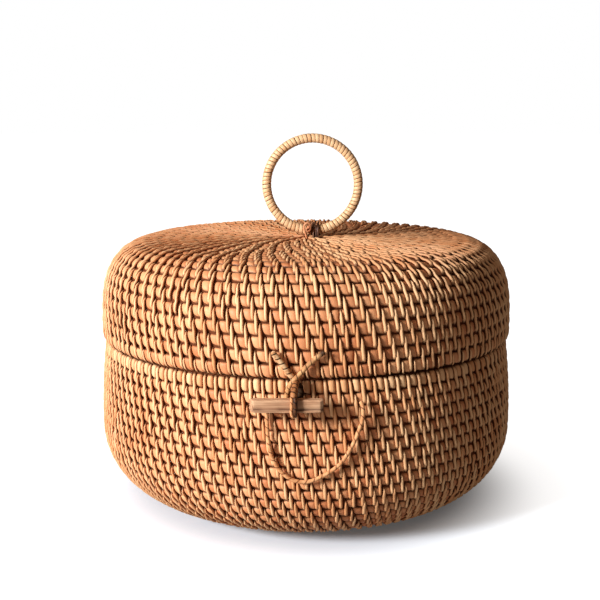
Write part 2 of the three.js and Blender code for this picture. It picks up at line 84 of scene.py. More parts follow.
# %% [markdown]
# ## Shader maths in plain Python
# A material is a net of nodes, and a long one is hard to read. Here a socket is wrapped in a small class,
# so that `1 - mask * 0.5` adds the Math nodes that it stands for. Every other node comes from one method.

# %% Sockets that can be added and multiplied
class Wire:
    """An output socket. An operator on it adds one Math node and gives that node's output."""

    def __init__(self, net, socket):
        self.net = net
        self.socket = socket

    def maths(self, operation, first, second=0.0):
        return self.net.node("ShaderNodeMath", {"operation": operation}, {0: first, 1: second})

    def __add__(self, other):
        return self.maths("ADD", self, other)

    def __sub__(self, other):
        return self.maths("SUBTRACT", self, other)

    def __rsub__(self, other):
        return self.maths("SUBTRACT", other, self)

    def __mul__(self, other):
        return self.maths("MULTIPLY", self, other)

    def __abs__(self):
        return self.maths("ABSOLUTE", self)

    def fraction(self):
        return self.maths("FRACT", self)

    def or_more(self, other):
        """The larger of the two."""
        return self.maths("MAXIMUM", self, other)

    __radd__ = __add__
    __rmul__ = __mul__


print("reflected forms of a wire:", [key for key in vars(Wire) if key.startswith("__r")])

# %% The net of a material or of the world
def find_socket(sockets, key):
    """A socket by its number, its identifier or its name."""
    if isinstance(key, int):
        return sockets[key]
    return [socket for socket in sockets if key in (socket.identifier, socket.name)][0]


class Net:
    """The nodes of a material or of the world, and the ways to add to them."""

    def __init__(self, owner):
        owner.use_nodes = True
        self.tree = owner.node_tree

    def set(self, node, values):
        """Sets or links a node's inputs."""
        for key, value in values.items():
            socket = find_socket(node.inputs, key)
            if isinstance(value, Wire):
                self.tree.links.new(value.socket, socket)
            else:
                socket.default_value = value

    def node(self, kind, settings=None, values=None, out=0):
        """Adds a node of that kind, sets it up, then sets or links its inputs, and gives one output."""
        node = self.tree.nodes.new(kind)
        for key, value in (settings or {}).items():
            setattr(node, key, value)
        self.set(node, values or {})
        return Wire(self, find_socket(node.outputs, out))

    def mix(self, amount, low, high):
        """The first colour where the amount is 0 and the second where it is 1."""
        values = {"Factor_Float": amount, "A_Color": low, "B_Color": high}
        return self.node("ShaderNodeMix", {"data_type": "RGBA"}, values, out="Result_Color")

    def soft_step(self, value, start, end):
        """0 before start, 1 after end, and a smooth rise between them."""
        values = {"Value": value, "From Min": start, "From Max": end}
        return self.node("ShaderNodeMapRange", {"interpolation_type": "SMOOTHSTEP"}, values)

    def camera_ray(self):
        """1 for the camera's own rays and 0 for all others."""
        return self.node("ShaderNodeLightPath", out="Is Camera Ray")

    def attribute(self, name):
        return self.node("ShaderNodeAttribute", {"attribute_name": name}, out="Fac")

    def object_place(self):
        return self.node("ShaderNodeTexCoord", out="Object")

    def noise(self, vector, scale, detail):
        return self.node("ShaderNodeTexNoise", None, {"Vector": vector, "Scale": scale, "Detail": detail})

    def stretched(self, vector, scale):
        return self.node("ShaderNodeMapping", None, {"Vector": vector, "Scale": scale})

    def joined(self, x, y, z=0.0):
        return self.node("ShaderNodeCombineXYZ", None, {0: x, 1: y, 2: z})

    def parts(self, vector):
        """The three parts of a vector, a wire each."""
        first = self.node("ShaderNodeSeparateXYZ", None, {0: vector})
        return [Wire(self, s) for s in first.socket.node.outputs]

    def uv_place(self):
        """Both parts of the place on the piece's UV map."""
        return self.parts(self.node("ShaderNodeUVMap", {"uv_map": "UVMap"}))[:2]


print("ways to add to a net:", [key for key in vars(Net) if not key.startswith("_")])

# %% A material on the bench, and its paints
class Bench(Net):
    """A material on the bench, with its Principled shader."""

    def __init__(self, name, roughness, sheen):
        self.material = bpy.data.materials.new(name)
        super().__init__(self.material)
        self.shader = self.tree.nodes["Principled BSDF"]
        self.set(self.shader, {"Roughness": roughness, "Specular IOR Level": sheen})

    def finish(self, colour, height=None, depth=0.0):
        """Connects the colour, and a bump of that depth in metres if there is one."""
        self.set(self.shader, {"Base Color": colour})
        if height is not None:
            bump = {"Height": height, "Strength": 1.0, "Distance": depth}
            self.set(self.shader, {"Normal": self.node("ShaderNodeBump", None, bump)})
        return self.material


def paint(red, green, blue):
    """A screen colour of 0 to 255 as the linear colour that a shader takes."""
    screen = np.array([red, green, blue]) / 255
    linear = np.where(screen < 0.04045, screen / 12.92, ((screen + 0.055) / 1.055) ** 2.4)
    return (*linear.tolist(), 1.0)


print("a mid tan is", np.round(paint(214, 160, 108)[:3], 3))

# %% [markdown]
# ## One way to make a mesh
# Nearly everything on this box is a strip or a cord: a section carried along a path. So one function
# makes all of them at once. It takes rings of points, `points[tube, step, side]`, and joins each ring to
# the next. Thousands of stitches are one array, and no loop runs over their points.

# %% Skin over rings of points
def signed_volume(corners):
    """Volume inside the quads, each taken as two triangles seen from the tube's own middle."""
    a, b, c, d = np.moveaxis(corners, -2, 0)
    first, second = np.cross(b, c), np.cross(c, d)
    return (np.einsum("...i,...i", a, first) + np.einsum("...i,...i", a, second)).sum() / 6


def skin(name, points, uv=None, closed=False, **tones):
    """Makes a mesh of closed tubes from points[tube, step, side] in millimetres.

    Quads join each side to the next one round the ring and to the same one on the next ring. An open tube
    gets a cap at each end, and a closed one joins its last ring to its first. uv[step, side] has one more
    side than the ring, and for a closed tube one more step, so that a pattern runs on over both seams. A
    tone is a number for each point.
    """
    count, steps, sides, _ = points.shape
    number = np.arange(count * steps * sides).reshape(count, steps, sides)
    around = np.concatenate([number, number[:, :, :1]], axis=2)
    if closed:
        around = np.concatenate([around, around[:, :1]], axis=1)
    quads = np.stack([around[:, :-1, :-1], around[:, :-1, 1:], around[:, 1:, 1:], around[:, 1:, :-1]], -1)
    middle = points.mean(axis=(1, 2), keepdims=True)
    inside_out = signed_volume((points - middle).reshape(-1, 3)[quads]) < 0
    caps = [] if closed else [number[:, 0, ::-1], number[:, -1]]
    if inside_out:
        quads = quads[..., ::-1]
        caps = [cap[:, ::-1] for cap in caps]
    corners = np.concatenate([quads.ravel(), *[cap.ravel() for cap in caps]])
    quad_starts = np.arange(quads.size // 4) * 4
    cap_starts = quads.size + np.arange(count * len(caps)) * sides
    mesh = bpy.data.meshes.new(name)
    mesh.vertices.add(number.size)
    mesh.vertices.foreach_set("co", (points * MM).astype(np.float32).ravel())
    mesh.loops.add(corners.size)
    mesh.loops.foreach_set("vertex_index", corners.astype(np.int32))
    mesh.polygons.add(quad_starts.size + cap_starts.size)
    mesh.polygons.foreach_set("loop_start", np.concatenate([quad_starts, cap_starts]).astype(np.int32))
    mesh.update(calc_edges=True)
    mesh.shade_smooth()
    if uv is not None:
        cells = np.stack([uv[:-1, :-1], uv[:-1, 1:], uv[1:, 1:], uv[1:, :-1]], axis=2)
        cells = cells[:, :, ::-1] if inside_out else cells
        cells = np.broadcast_to(cells, (count, *cells.shape)).reshape(-1, 2)
        ends = [np.broadcast_to(uv[place, :-1], (count, sides, 2)).reshape(-1, 2) for place in (0, -1)]
        every = np.concatenate([cells, *(ends if caps else [])])
        mesh.uv_layers.new(name="UVMap").data.foreach_set("uv", every.astype(np.float32).ravel())
    for tone, values in tones.items():
        layer = mesh.attributes.new(tone, "FLOAT", "POINT")
        layer.data.foreach_set("value", np.broadcast_to(values, number.shape).astype(np.float32).ravel())
    piece = bpy.data.objects.new(name, mesh)
    scene.collection.objects.link(piece)
    print(f"{name}: {count} tubes, {quad_starts.size * 2 + cap_starts.size * (sides - 2)} triangles")
    return piece


def dress(piece, body, slot, material, *nodes):
    """Gives a piece its finish and its body, and hides the nodes that it stands for; the slot is not used."""
    piece.data.materials.clear()
    piece.data.materials.append(material)
    if nodes:
        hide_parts(*nodes)
    if body:
        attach(piece, body)
    return piece


# %% [markdown]
# ## Cords
# A cord here is a strip of peel wound round a thin core, and each turn leaves a dark line where it meets
# the next. A curve with a round bevel would be quick, but smooth at its outline. So a ring of points is
# carried along the path instead, and drawn in by a narrow groove that climbs one pitch for each turn. The
# path runs through the same points as the model's cords.

# %% Smooth paths and the directions square to them
def smooth_path(route, step):
    """Cubic pieces through the points, with slopes from the chords on both sides, spaced evenly again."""
    p = np.asarray(route, float)
    chord = np.linalg.norm(np.diff(p, axis=0), axis=1)[:, None]
    speed = np.diff(p, axis=0) / chord
    slope = (speed[:-1] * chord[1:] + speed[1:] * chord[:-1]) / (chord[:-1] + chord[1:])
    slope = np.vstack([speed[:1], slope, speed[-1:]])
    t = np.linspace(0, 1, 40, endpoint=False)[None, :, None]
    a, b = p[:-1, None], p[1:, None]
    leave, arrive = slope[:-1, None] * chord[:, :, None], slope[1:, None] * chord[:, :, None]
    curve = a * (2 * t**3 - 3 * t**2 + 1) + leave * (t**3 - 2 * t**2 + t)
    curve = curve + b * (3 * t**2 - 2 * t**3) + arrive * (t**3 - t**2)
    curve = np.vstack([curve.reshape(-1, 3), p[-1:]])
    along = np.append(0, np.cumsum(np.linalg.norm(np.diff(curve, axis=0), axis=1)))
    places = np.linspace(0, along[-1], max(2, int(along[-1] / step) + 1))
    return np.stack([np.interp(places, along, curve[:, k]) for k in range(3)], axis=1), places


def unit(vectors):
    """The same directions with a length of 1."""
    return vectors / np.linalg.norm(vectors, axis=-1, keepdims=True)


def square_directions(path):
    """Two directions square to the path at each point, carried along it so that they don't twist."""
    tangent = unit(np.gradient(path, axis=0))
    side = np.empty_like(path)
    last = np.eye(3)[np.abs(tangent[0]).argmin()]
    for i, ahead in enumerate(tangent):
        last = last - ahead * (last @ ahead)
        last = last / np.linalg.norm(last)
        side[i] = last
    return side, np.cross(tangent, side)


ten_long = [(0, 0, 0), (5, 0, 0), (10, 0, 0)]
print("a straight route of 10 mm in steps of 1 mm:", len(smooth_path(ten_long, 1.0)[1]), "places")

# %% A tube with a winding groove
def wound_tube(route, radius, pitch, groove, step=0.25, sides=20):
    """A tube along a route, with a groove that winds round it.

    The place in the winding is the length over the pitch plus the share of a turn. The radius is drawn in
    where that place is near a whole number, and it rounds off over a short length at both ends.
    """
    path, along = smooth_path(route, step)
    side, up = square_directions(path)
    share = np.arange(sides + 1) / sides
    winding = along[:, None] / pitch + share
    groove_line = groove * (1 - np.abs(np.sin(np.pi * winding[:, :-1])) ** 0.4)
    end_length, end_depth = 0.6 * radius, 0.6
    from_end = np.minimum(along, along[-1] - along)[:, None] / end_length
    drawn_in = groove_line + end_depth * (1 - from_end.clip(0, 1)) ** 2
    angle = 2 * np.pi * share[:-1, None]
    ring = side[:, None] * np.cos(angle) + up[:, None] * np.sin(angle)
    points = path[:, None] + ring * (radius * (1 - drawn_in))[..., None]
    uv = np.stack([winding, np.broadcast_to(along[:, None], winding.shape)], axis=-1)
    return points[None], uv, path


print("a cord of 10 mm has", wound_tube(ten_long, 1.0, 3.0, 0.1)[0].size // 3, "points")

# %% [markdown]
# A cord's route is a short list of points in millimetres. Seen through the camera they lie
# on the picture's cord, and how far forward each one is follows from the wall or the peg that it lies on.

# %% Routes of the cords
left_strand_route = [
    (-16.6, -121.2, 110.5), (-12.4, -121.2, 105.3), (-9.5, -121.1, 101.3), (-7.3, -120.95, 98.3),
    (-5, -120.8, 95.4), (-2.8, -120.7, 92.3), (-2.6, -121, 89.2), (-3.8, -121.3, 86.6),
    (-5.5, -121.4, 84.4),
]
right_strand_route = [
    (9.2, -121.2, 110.5), (4.4, -121.4, 106.9), (0, -122, 102.9), (-2.9, -123.1, 99.6),
    (-5.9, -123.95, 96.8), (-7.8, -123.2, 94.3), (-8.9, -121.75, 91.3), (-9.4, -121.1, 88),
    (-9.3, -121, 85),
]
closure_loop_route = [
    (-19.7, -118, 86), (-19.7, -119.5, 85.6), (-19.6, -120.3, 84.3), (-19.5, -120.4, 82.4),
    (-19.4, -119.8, 78.2), (-19.2, -120.3, 73), (-18.6, -120.9, 64.8), (-16.4, -121.6, 55.5),
    (-12.4, -122.2, 49.5), (-5.5, -122.7, 45), (0.5, -122.8, 44.5), (8.5, -122.5, 47.5),
    (17.4, -121.6, 53.9), (22.4, -120.7, 61.5), (26.3, -119.9, 70.5), (28.2, -119.8, 78.2),
    (28.1, -119.8, 80.9), (27.9, -119.4, 82.2), (27.5, -118.3, 83.4), (27.2, -116.8, 83.9),
]
dark_band_route = [
    (-5.2, -131.3, 90.3), (-5.2, -131.95, 88.6), (-5.25, -131.95, 85.3), (-5.3, -131.9, 82.3),
    (-5.3, -130.4, 80.9), (-5.4, -127.6, 80.7), (-5.4, -125.3, 81.2), (-5.4, -124.3, 83.0),
    (-5.3, -124.3, 87.0), (-5.2, -125.3, 89.4), (-5.1, -127.8, 90.0), (-5.1, -129.6, 89.9),
]
pale_band_route = [
    (-5.5, -131.5, 80.6), (-6.4, -131.9, 80.5), (-6.95, -132.0, 82.0), (-6.95, -132.0, 86.0),
    (-6.9, -131.6, 88.8), (-6.9, -129.6, 89.7), (-6.9, -127.0, 89.7), (-6.9, -125.0, 88.8),
    (-6.9, -124.5, 86.4),
]
turn_route = [
    (-4.2, -121.6, 96.4), (-4.7, -123.6, 95.6), (-5.3, -126.2, 94.2), (-5.8, -128.9, 92.6),
    (-6.0, -130.6, 91.0), (-6.0, -131.3, 89.6),
]
print("cord routes:", len(left_strand_route), len(right_strand_route), len(closure_loop_route), "points")

# %% [markdown]
# The finish of a cord follows its winding. Its UV map holds the place in the winding and the length in
# millimetres, so a dark line is simply where the winding passes a whole number. Fine fibres run along
# each turn, and slow noise makes some turns paler than others.

# %% Cord finish
def cord_material(name, pale, deep, line, line_width, shaded_span=None, roughness=0.5, sheen=0.22):
    """Peel wound on a core: pale turns with fibres, darker towards their edges, and a dark line between.

    With a span of two lengths along the cord in millimetres, the finish is painted dark between them: painted
    shade where the cord lies in shadow.
    """
    pale, deep, line = paint(*pale), paint(*deep), paint(*line)
    bench = Bench(name, roughness, sheen)
    winding, along = bench.uv_place()
    edge = abs(winding.fraction() * 2 - 1)
    fibres = bench.noise(bench.joined(winding * 6, along * 0.5), 3.0, 3.0)
    patches = bench.noise(bench.object_place(), 420.0, 1.0)
    body = bench.mix(bench.soft_step(patches * 0.6 + fibres * 0.4, 0.38, 0.62), pale, deep)
    body = bench.mix(bench.soft_step(edge, 0.45, 1.0) * 0.4, body, deep)
    colour = bench.mix(bench.soft_step(edge, 1 - 2.4 * line_width, 1 - 0.8 * line_width), body, line)
    if shaded_span:
        colour = bench.mix(bench.soft_step(along, *shaded_span) * 0.95, colour, line)
    return bench.finish(colour, fibres, 0.00003)


# Painted shade: the left strand is painted dark past the place where the right strand, the peg and the band
# shade it, and the right strand is painted dark at its top end, which lies in shadow.
left_cord = cord_material("left_strand_cane", (240, 198, 152), (184, 128, 84), (30, 16, 9), 0.12,
                          shaded_span=(17.0, 19.5), roughness=0.85, sheen=0.04)
right_cord = cord_material("right_strand_cane", (232, 178, 122), (182, 124, 78), (56, 30, 16), 0.08,
                           shaded_span=(6.0, 0.8))
turn_cord = cord_material("strand_turn_cane", (188, 126, 80), (132, 78, 44), (36, 19, 11), 0.13)
pale_cord = cord_material("cane_cord", (232, 192, 138), (196, 138, 84), (64, 34, 18), 0.10)
fine_cord = cord_material("fine_cane_cord", (238, 178, 126), (208, 140, 90), (112, 62, 34), 0.08)
# Painted shade: this cord's dark browns stand for the shaded half of the band round the peg.
shaded_band_cord = cord_material("shaded_band_cane_cord", (104, 64, 36), (66, 38, 20), (30, 15, 8), 0.12)
cords = (left_cord, right_cord, turn_cord, pale_cord, fine_cord, shaded_band_cord)
print("cord finishes:", ", ".join(material.name for material in cords))

# %% [markdown]
# The two cords that hold the peg come out of the lid and cross in front of the seam. Both are short, so
# the picture shows their whole length. The loop leaves the base's wall at the left, hangs down and goes
# in again at the right.

# %% Toggle cords
def metres(path):
    """A path in millimetres as a list of points in metres."""
    return (path * MM).tolist()


def length_of(path):
    """Length of a path in millimetres, given in metres."""
    return float(np.linalg.norm(np.diff(path, axis=0), axis=1).sum() * MM)


def wound_cord(name, route, radius, pitch, groove, body, material, *nodes, **grid):
    """A cord wound along a route, with its finish and its body, and the path that it follows."""
    points, uv, path = wound_tube(route, radius, pitch, groove, **grid)
    return dress(skin(name, points, uv), body, "cane_cord", material, *nodes), path


left_strand, left_path = wound_cord("toggle_strand_left", left_strand_route, 1.5, 3.0, 0.13,
                                    "toggle_cord", left_cord, "toggle_cord_left")
right_strand, right_path = wound_cord("toggle_strand_right", right_strand_route, 1.25, 3.4, 0.05,
                                      "toggle_cord", right_cord, "toggle_cord_right")
strand_turn, _ = wound_cord("toggle_strand_turn", turn_route, 1.6, 2.6, 0.07, None, turn_cord)
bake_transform(strand_turn)
print("toggle cords:", round(length_of(left_path), 4), round(length_of(right_path), 4), "m")

# %% Closure loop
closure_loop, loop_path = wound_cord("closure_loop_cord", closure_loop_route, 1.0, 4.2, 0.03, None,
                                     fine_cord, "closure_loop", "closure_loop_end_left",
                                     "closure_loop_end_right", step=0.3, sides=16)
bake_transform(closure_loop)
metres(loop_path)[0]
metres(loop_path)
print("closure loop:", round(length_of(loop_path), 4), "m")

# %% [markdown]
# ## Light and floor
# The picture is lit from the left and a little in front, with hardly any light from the right, so the
# ground is white and the box still has a dark side. A large soft lamp stands there, and the world fills
# the shadows. The floor is a real surface that keeps the box's shadow. For the camera's own rays it is
# bright, slightly blue paper that also glows a little, and more with the distance from the box, so that
# the ground is white right up to where it meets the white room. That glow paints the shadow's fall-off
# too: weak at the box, where the shadow stays dark, and stronger further out, where it fades the shadow
# to white. The slight blue keeps the shadow grey under the warm fill. For all other rays it is plain grey
# paper, so that none of this falls on the box.

# %% Lamps and world
BOX_MIDDLE = np.array([0, 0, 0.09])


def soft_lamp(name, place, size, watts):
    """A square area lamp that faces the middle of the box."""
    data = bpy.data.lights.new(name, "AREA")
    data.size = size
    data.energy = watts
    lamp = bpy.data.objects.new(name, data)
    scene.collection.objects.link(lamp)
    aim = unit(BOX_MIDDLE - place)
    lamp.location = place
    lamp.rotation_euler = (np.arccos(-aim[2]), 0, np.arctan2(-aim[0], aim[1]))
    return lamp


lamp = soft_lamp("window_lamp", (-0.95, -0.75, 0.52), 0.32, 25.5)
world = bpy.data.worlds.new("white_room")
scene.world = world
room = Net(world)
room_light = room.mix(room.camera_ray(), (0.155, 0.12, 0.095, 1), (1, 1, 1, 1))
room.set(room.tree.nodes["Background"], {"Color": room_light})
print("lamp and world:", lamp.name, world.name)

# %% Floor
FLOOR_REACH = 6.0
floor_mesh = bpy.data.meshes.new("floor")
floor_corners = [(x * FLOOR_REACH, y * FLOOR_REACH, 0) for x, y in ((-1, -1), (1, -1), (1, 1), (-1, 1))]
floor_mesh.from_pydata(floor_corners, [], [(0, 1, 2, 3)])
floor = bpy.data.objects.new("floor", floor_mesh)
scene.collection.objects.link(floor)
ground = Bench("floor_paper", 0.7, 0.1)
ground.finish(ground.mix(ground.camera_ray(), paint(170, 168, 165), paint(230, 239, 250)))
away = ground.node("ShaderNodeVectorMath", {"operation": "LENGTH"}, {0: ground.object_place()}, out="Value")
# Painted shadow: the glow is weak near the box and grows with the distance from it, which sets how the box's
# shadow fades out on the floor.
near, far = ground.soft_step(away, 0.088, 0.148), ground.soft_step(away, 0.138, 0.18)
glow_and_shadow_fade = 0.07 + near * 0.79 + far * 0.14
glow = ground.node("ShaderNodeEmission", None, {"Strength": ground.camera_ray() * glow_and_shadow_fade})
whole = ground.node("ShaderNodeAddShader", None, {0: Wire(ground, ground.shader.outputs[0]), 1: glow})
ground.set(ground.tree.nodes["Material Output"], {"Surface": whole})
floor_mesh.materials.append(ground.material)
print("floor:", floor.name)

# %% [markdown]
# ## The two baskets' outlines
# Each basket is a turned shape: half of its outline, carried round the upright axis. The outline is kept
# as a line with its length measured along it, because a weaver's rows are evenly spaced along the wall
# and not in height. The base has a rounded foot, the lid a tighter shoulder and a nearly flat crown.

# %% Outlines measured by length
def turned(radius, angle, height):
    """Places on a turned shape: so far from the upright axis, so far round it and so high."""
    return np.stack(np.broadcast_arrays(radius * np.cos(angle), radius * np.sin(angle), height), axis=-1)


class Outline:
    """Half an outline of a turned shape: radius, height and the wall's way out, by length along it."""

    def __init__(self, radius, height, out_side):
        self.along = np.append(0, np.cumsum(np.hypot(np.diff(radius), np.diff(height))))
        self.length = self.along[-1]
        self.radii, self.heights = radius, height
        run, rise = np.gradient(radius, self.along), np.gradient(height, self.along)
        size = np.hypot(run, rise) * out_side
        self.out_radius, self.out_height = rise / size, -run / size

    def at_height(self, height):
        """Length along the outline at which it first passes that height, counted from its start."""
        past = np.flatnonzero(np.diff(np.sign(self.heights - height)))[0]
        low, high = self.heights[past], self.heights[past + 1]
        share = (height - low) / (high - low)
        return self.along[past] + share * (self.along[past + 1] - self.along[past])

    def read(self, values, length):
        return np.interp(length, self.along, values)

    def radius(self, length, least=0.0):
        """The radius at that length, and near the axis no less than the least."""
        return np.maximum(self.read(self.radii, length), least)

    def point(self, length, angle, lift):
        """The place at that length, turned round the axis by the angle and lifted out of the wall."""
        radius = self.read(self.radii, length) + lift * self.read(self.out_radius, length)
        height = self.read(self.heights, length) + lift * self.read(self.out_height, length)
        return turned(np.maximum(radius, 0.05), angle, height)


seam = 95.5
lid_foot = seam + 0.3
rim_row = 7.2
wall = 6.0


def base_outline():
    """A flat floor, a foot that is a superellipse, and a wall that closes in as the square of the height."""
    foot, belly, rim = 64.0, 121.2, 118.0
    belly_height = 46.4
    power = 2 / 2.21
    flat = np.linspace(0, foot, 60, endpoint=False)
    t = np.linspace(0, np.pi / 2, 160)
    curve_radius = foot + (belly - foot) * np.sin(t) ** power
    curve_height = belly_height * (1 - np.cos(t) ** power)
    u = np.linspace(0, 1, 60)[1:]
    radius = np.concatenate([flat, curve_radius, belly + (rim - belly) * u**2])
    height = np.concatenate([0 * flat, curve_height, belly_height + (seam - belly_height) * u])
    return Outline(radius, height, 1)


def lid_outline():
    """A crown that is a shallow parabola, a superellipse shoulder, and a wall that swells towards it."""
    crown, widest, rim = 85.0, 119.9, 118.8
    widest_height, shoulder_height, rise = seam + 11.3, seam + 56.2, 0.4
    power = 2 / 2.69
    flat = np.linspace(0, crown, 80, endpoint=False)
    t = np.linspace(np.pi / 2, 0, 160)
    curve_radius = crown + (widest - crown) * np.cos(t).clip(0) ** power
    curve_height = widest_height + (shoulder_height - widest_height) * np.sin(t) ** power
    u = np.linspace(1, 0, 50)[1:]
    radius = np.concatenate([flat, curve_radius, rim + (widest - rim) * (1 - (1 - u) ** 2)])
    crown_height = shoulder_height + rise * (1 - (flat / crown) ** 2)
    height = np.concatenate([crown_height, curve_height, seam + (widest_height - seam) * u])
    return Outline(radius, height, -1)


base_line = base_outline()
lid_line = lid_outline()
print("outline lengths:", round(base_line.length, 1), round(lid_line.length, 1), "mm")

# %% [markdown]
# ## How the rows are sewn
# Look closely and two kinds of turn alternate. A long stitch starts as a point under one coil, crosses
# two coils and ends flat, a little to the right of where it began. Between it and the next, the strip
# goes round one coil only, and shows as a wide block with a rounded lower corner. The next row's
# stitches start in the blocks of this one. So the places of one row follow from the row above: a share
# of the way from one stitch's end to the next. Where the basket widens, the widest gaps get a stitch
# more, and where it narrows the closest lose one, as a weaver does by eye.

# %% Places of the stitches, row by row
FEWEST = 5
SHARE = 0.2
ONE_TRADED_IN = 50
EVENED_OUT = 0.35
SCATTER = 0.24


def row_edges(ends, pitches):
    """Lengths at which one row meets the next: each stretch between two ends is cut into whole rows."""
    counts = [round(abs(b - a) / pitch) for a, b, pitch in zip(ends, ends[1:], pitches)]
    stretches = [np.linspace(a, b, n, endpoint=False) for a, b, n in zip(ends, ends[1:], counts)]
    return np.append(np.concatenate(stretches), ends[-1])


def lean_at(angle):
    """Millimetres that a stitch comes to the right down its length, most at angle 0, the box's right side."""
    return 1.0 + 2.2 * np.cos(angle).clip(0) ** 1.6


def start_angles(outline, edges, period):
    """The angle at which each stitch starts, one array for each row.

    The stitches of the row above end a lean further on. A new one starts at a share of the gap after each
    of them. The number of stitches is the row's length over the period, and at least the fewest. Each row
    also trades one stitch in fifty from its closest gap to its widest. Each place is then drawn about a
    third of the way towards the middle of its neighbours, and moved a little at random.
    """
    radii = outline.radius((edges[:-1] + edges[1:]) / 2, 3.0)
    counts = np.maximum(FEWEST, np.rint(2 * np.pi * radii / period).astype(int))
    rows = [np.arange(counts[0]) * 2 * np.pi / counts[0]]
    for radius, count in zip(radii[1:], counts[1:]):
        ends = rows[-1] + lean_at(rows[-1]) / radius
        gap = np.diff(np.append(ends, ends[0] + 2 * np.pi))
        more, traded = count - len(ends), len(ends) // ONE_TRADED_IN
        added, dropped = max(more, 0) + traded, max(-more, 0) + traded
        by_width = np.argsort(gap * rng.uniform(0.85, 1.15, len(gap)))
        split = by_width[max(0, len(gap) - added):]
        starts = ends + SHARE * gap
        starts[split] = ends[split] + SHARE * gap[split] / 2
        starts = np.sort(np.append(np.delete(starts, by_width[:dropped]), starts[split] + gap[split] / 2))
        before, after = np.roll(starts, 1), np.roll(starts, -1)
        before[0] -= 2 * np.pi
        after[-1] += 2 * np.pi
        starts = starts + EVENED_OUT * ((before + after) / 2 - starts)
        rows.append(starts + rng.normal(0, SCATTER, len(starts)) / radius)
    return rows


# %% Both baskets, ready to be sewn
class Basket:
    """A basket's outline, the lengths along it at which its rows meet, and the angles of their stitches.

    Its way is 1 where the rows run on along the outline, and -1 where they run back.
    """

    def __init__(self, outline, ends, pitches, period):
        self.outline = outline
        self.edges = row_edges(ends, pitches)
        self.rows = start_angles(outline, self.edges, period)
        self.last = len(self.rows)
        self.way = np.sign(self.edges[1] - self.edges[0])

    def row_near(self, length):
        """The row that begins nearest to a length along the outline."""
        return int(np.abs(self.edges - length).argmin())


FOOT_HEIGHT = 5.0
WIDE_ROWS_HEIGHT = 26.0
base_heights = (seam - rim_row, WIDE_ROWS_HEIGHT, FOOT_HEIGHT)
lid_heights = (lid_foot + rim_row, lid_foot)
base_ends = [base_line.length, *map(base_line.at_height, base_heights), 0.0]
lid_ends = [0.0, *map(lid_line.at_height, lid_heights)]
base = Basket(base_line, base_ends, (rim_row, 6.07, 7.0, 6.07), 6.3)
lid = Basket(lid_line, lid_ends, (6.94, rim_row), 7.0)
for name, basket in (("base", base), ("lid", lid)):
    print(name, "rows:", basket.last, "with", sum(map(len, basket.rows)), "stitches")

# %% [markdown]
# ## Strips of peel on a wall
# A picture of weave on a smooth pot would look flat at its outline and in a low light, so every strip is a
# shape of its own. It is a flat section with a rounded back: six points, carried along a line on the wall.
# Its left and right edges are two angles that change down its length, and its lift says how far its back
# stands out of the wall: high over the middle of a coil, and low where it dips between two.

# %% Shape of a strip
STITCH = 2.2
TIP = 0.28
RIM_TIP = 0.85
NEAR_AXIS = 2.5
ACROSS = np.array([-1.0, -0.62, 0.1, 0.72, 1.0, 0.0])
RISE = np.array([-0.85, -0.17, 0.0, -0.26, -0.9, -1.0])


def stitch_width(t, tip):
    """A narrow tip that opens to the full width before the middle, and a little less again at the end."""
    opening = np.clip(t / 0.4, 0, 1)
    return STITCH * (tip + (1 - tip) * opening * opening * (3 - 2 * opening)) * (1 - 0.08 * t)


def stitch_drift(t, angle):
    """How far right of its start the stitch's middle has come."""
    return lean_at(angle) * t


def stitch_lift(t):
    """Out over the middle of both coils, slightly in between them, and deep in at both ends."""
    return -0.4 * (0.5 + 0.5 * np.cos(4 * np.pi * t)) - 0.9 * np.abs(2 * t - 1) ** 9


def lay_strips(name, basket, length, left, right, lift, thickness, tone, facing=1, slant=0.0):
    """Strips on a wall, from arrays [strip, step]: the length down the wall, the two edges and the lift.

    The slant sets a strip's foot askew: so many millimetres further down at the right edge, and as much
    less far at the left one.
    """
    along = np.linspace(0, 1, left.shape[1])[:, None]
    middle, half = ((left + right) / 2)[..., None], ((right - left) / 2)[..., None]
    down = length[..., None] + slant * basket.way * ACROSS * along
    height = lift[..., None] + facing * thickness * RISE
    points = basket.outline.point(down, middle + half * ACROSS, height)
    return skin(name, points, across=ACROSS, along=along, tone=tone[:, None, None])


print("a stitch is", np.round(stitch_width(np.array([0, 0.25, 0.5, 1]), TIP), 2), "mm wide down its length")

# %% Long stitches
def stitches(name, basket, first, last, steps=7, tip=TIP, flare=0.0, lower=0.0):
    """The long stitches that start in the rows from first up to last, each over two rows.

    The flare lifts their lower ends, and lower presses them all into the wall. Their width, lean, lift and
    tone differ a little from one to the next.
    """
    counts = [len(row) for row in basket.rows[first:last]]
    start = np.concatenate(basket.rows[first:last])[:, None]
    top = np.repeat(basket.edges[first:last], counts)[:, None]
    foot = np.repeat(basket.edges[first + 2:last + 2], counts)[:, None]
    t = np.linspace(0, 1, steps)
    length = top + (foot - top) * (0.03 + 0.94 * t)
    radius = basket.outline.radius(length, NEAR_AXIS)
    wide = stitch_width(t, tip) * rng.normal(1, 0.08, start.shape).clip(0.8, 1.2)
    wide = np.minimum(wide, 1.1 * radius)
    drift = stitch_drift(t, start) + rng.normal(0, 0.2, start.shape) * t
    lift = stitch_lift(t) + flare * t - lower - np.abs(rng.normal(0, 0.08, start.shape))
    tone = rng.normal(0.45, 0.22, len(start)).clip(0, 1)
    left, right = start + (drift - wide / 2) / radius, start + (drift + wide / 2) / radius
    return lay_strips(name, basket, length, left, right, lift, 1.35, tone, slant=0.35)


print("stitches of the base:", len(base.rows[0]), "at the rim and", len(base.rows[-1]), "in the middle")

# %% [markdown]
# A block fills the space between two neighbours in its own row, so its edges are their edges. All the
# stitches that cross a row are put in order, each with the part of its length that lies in this row:
# the first half if it starts here and the second if it ends here.

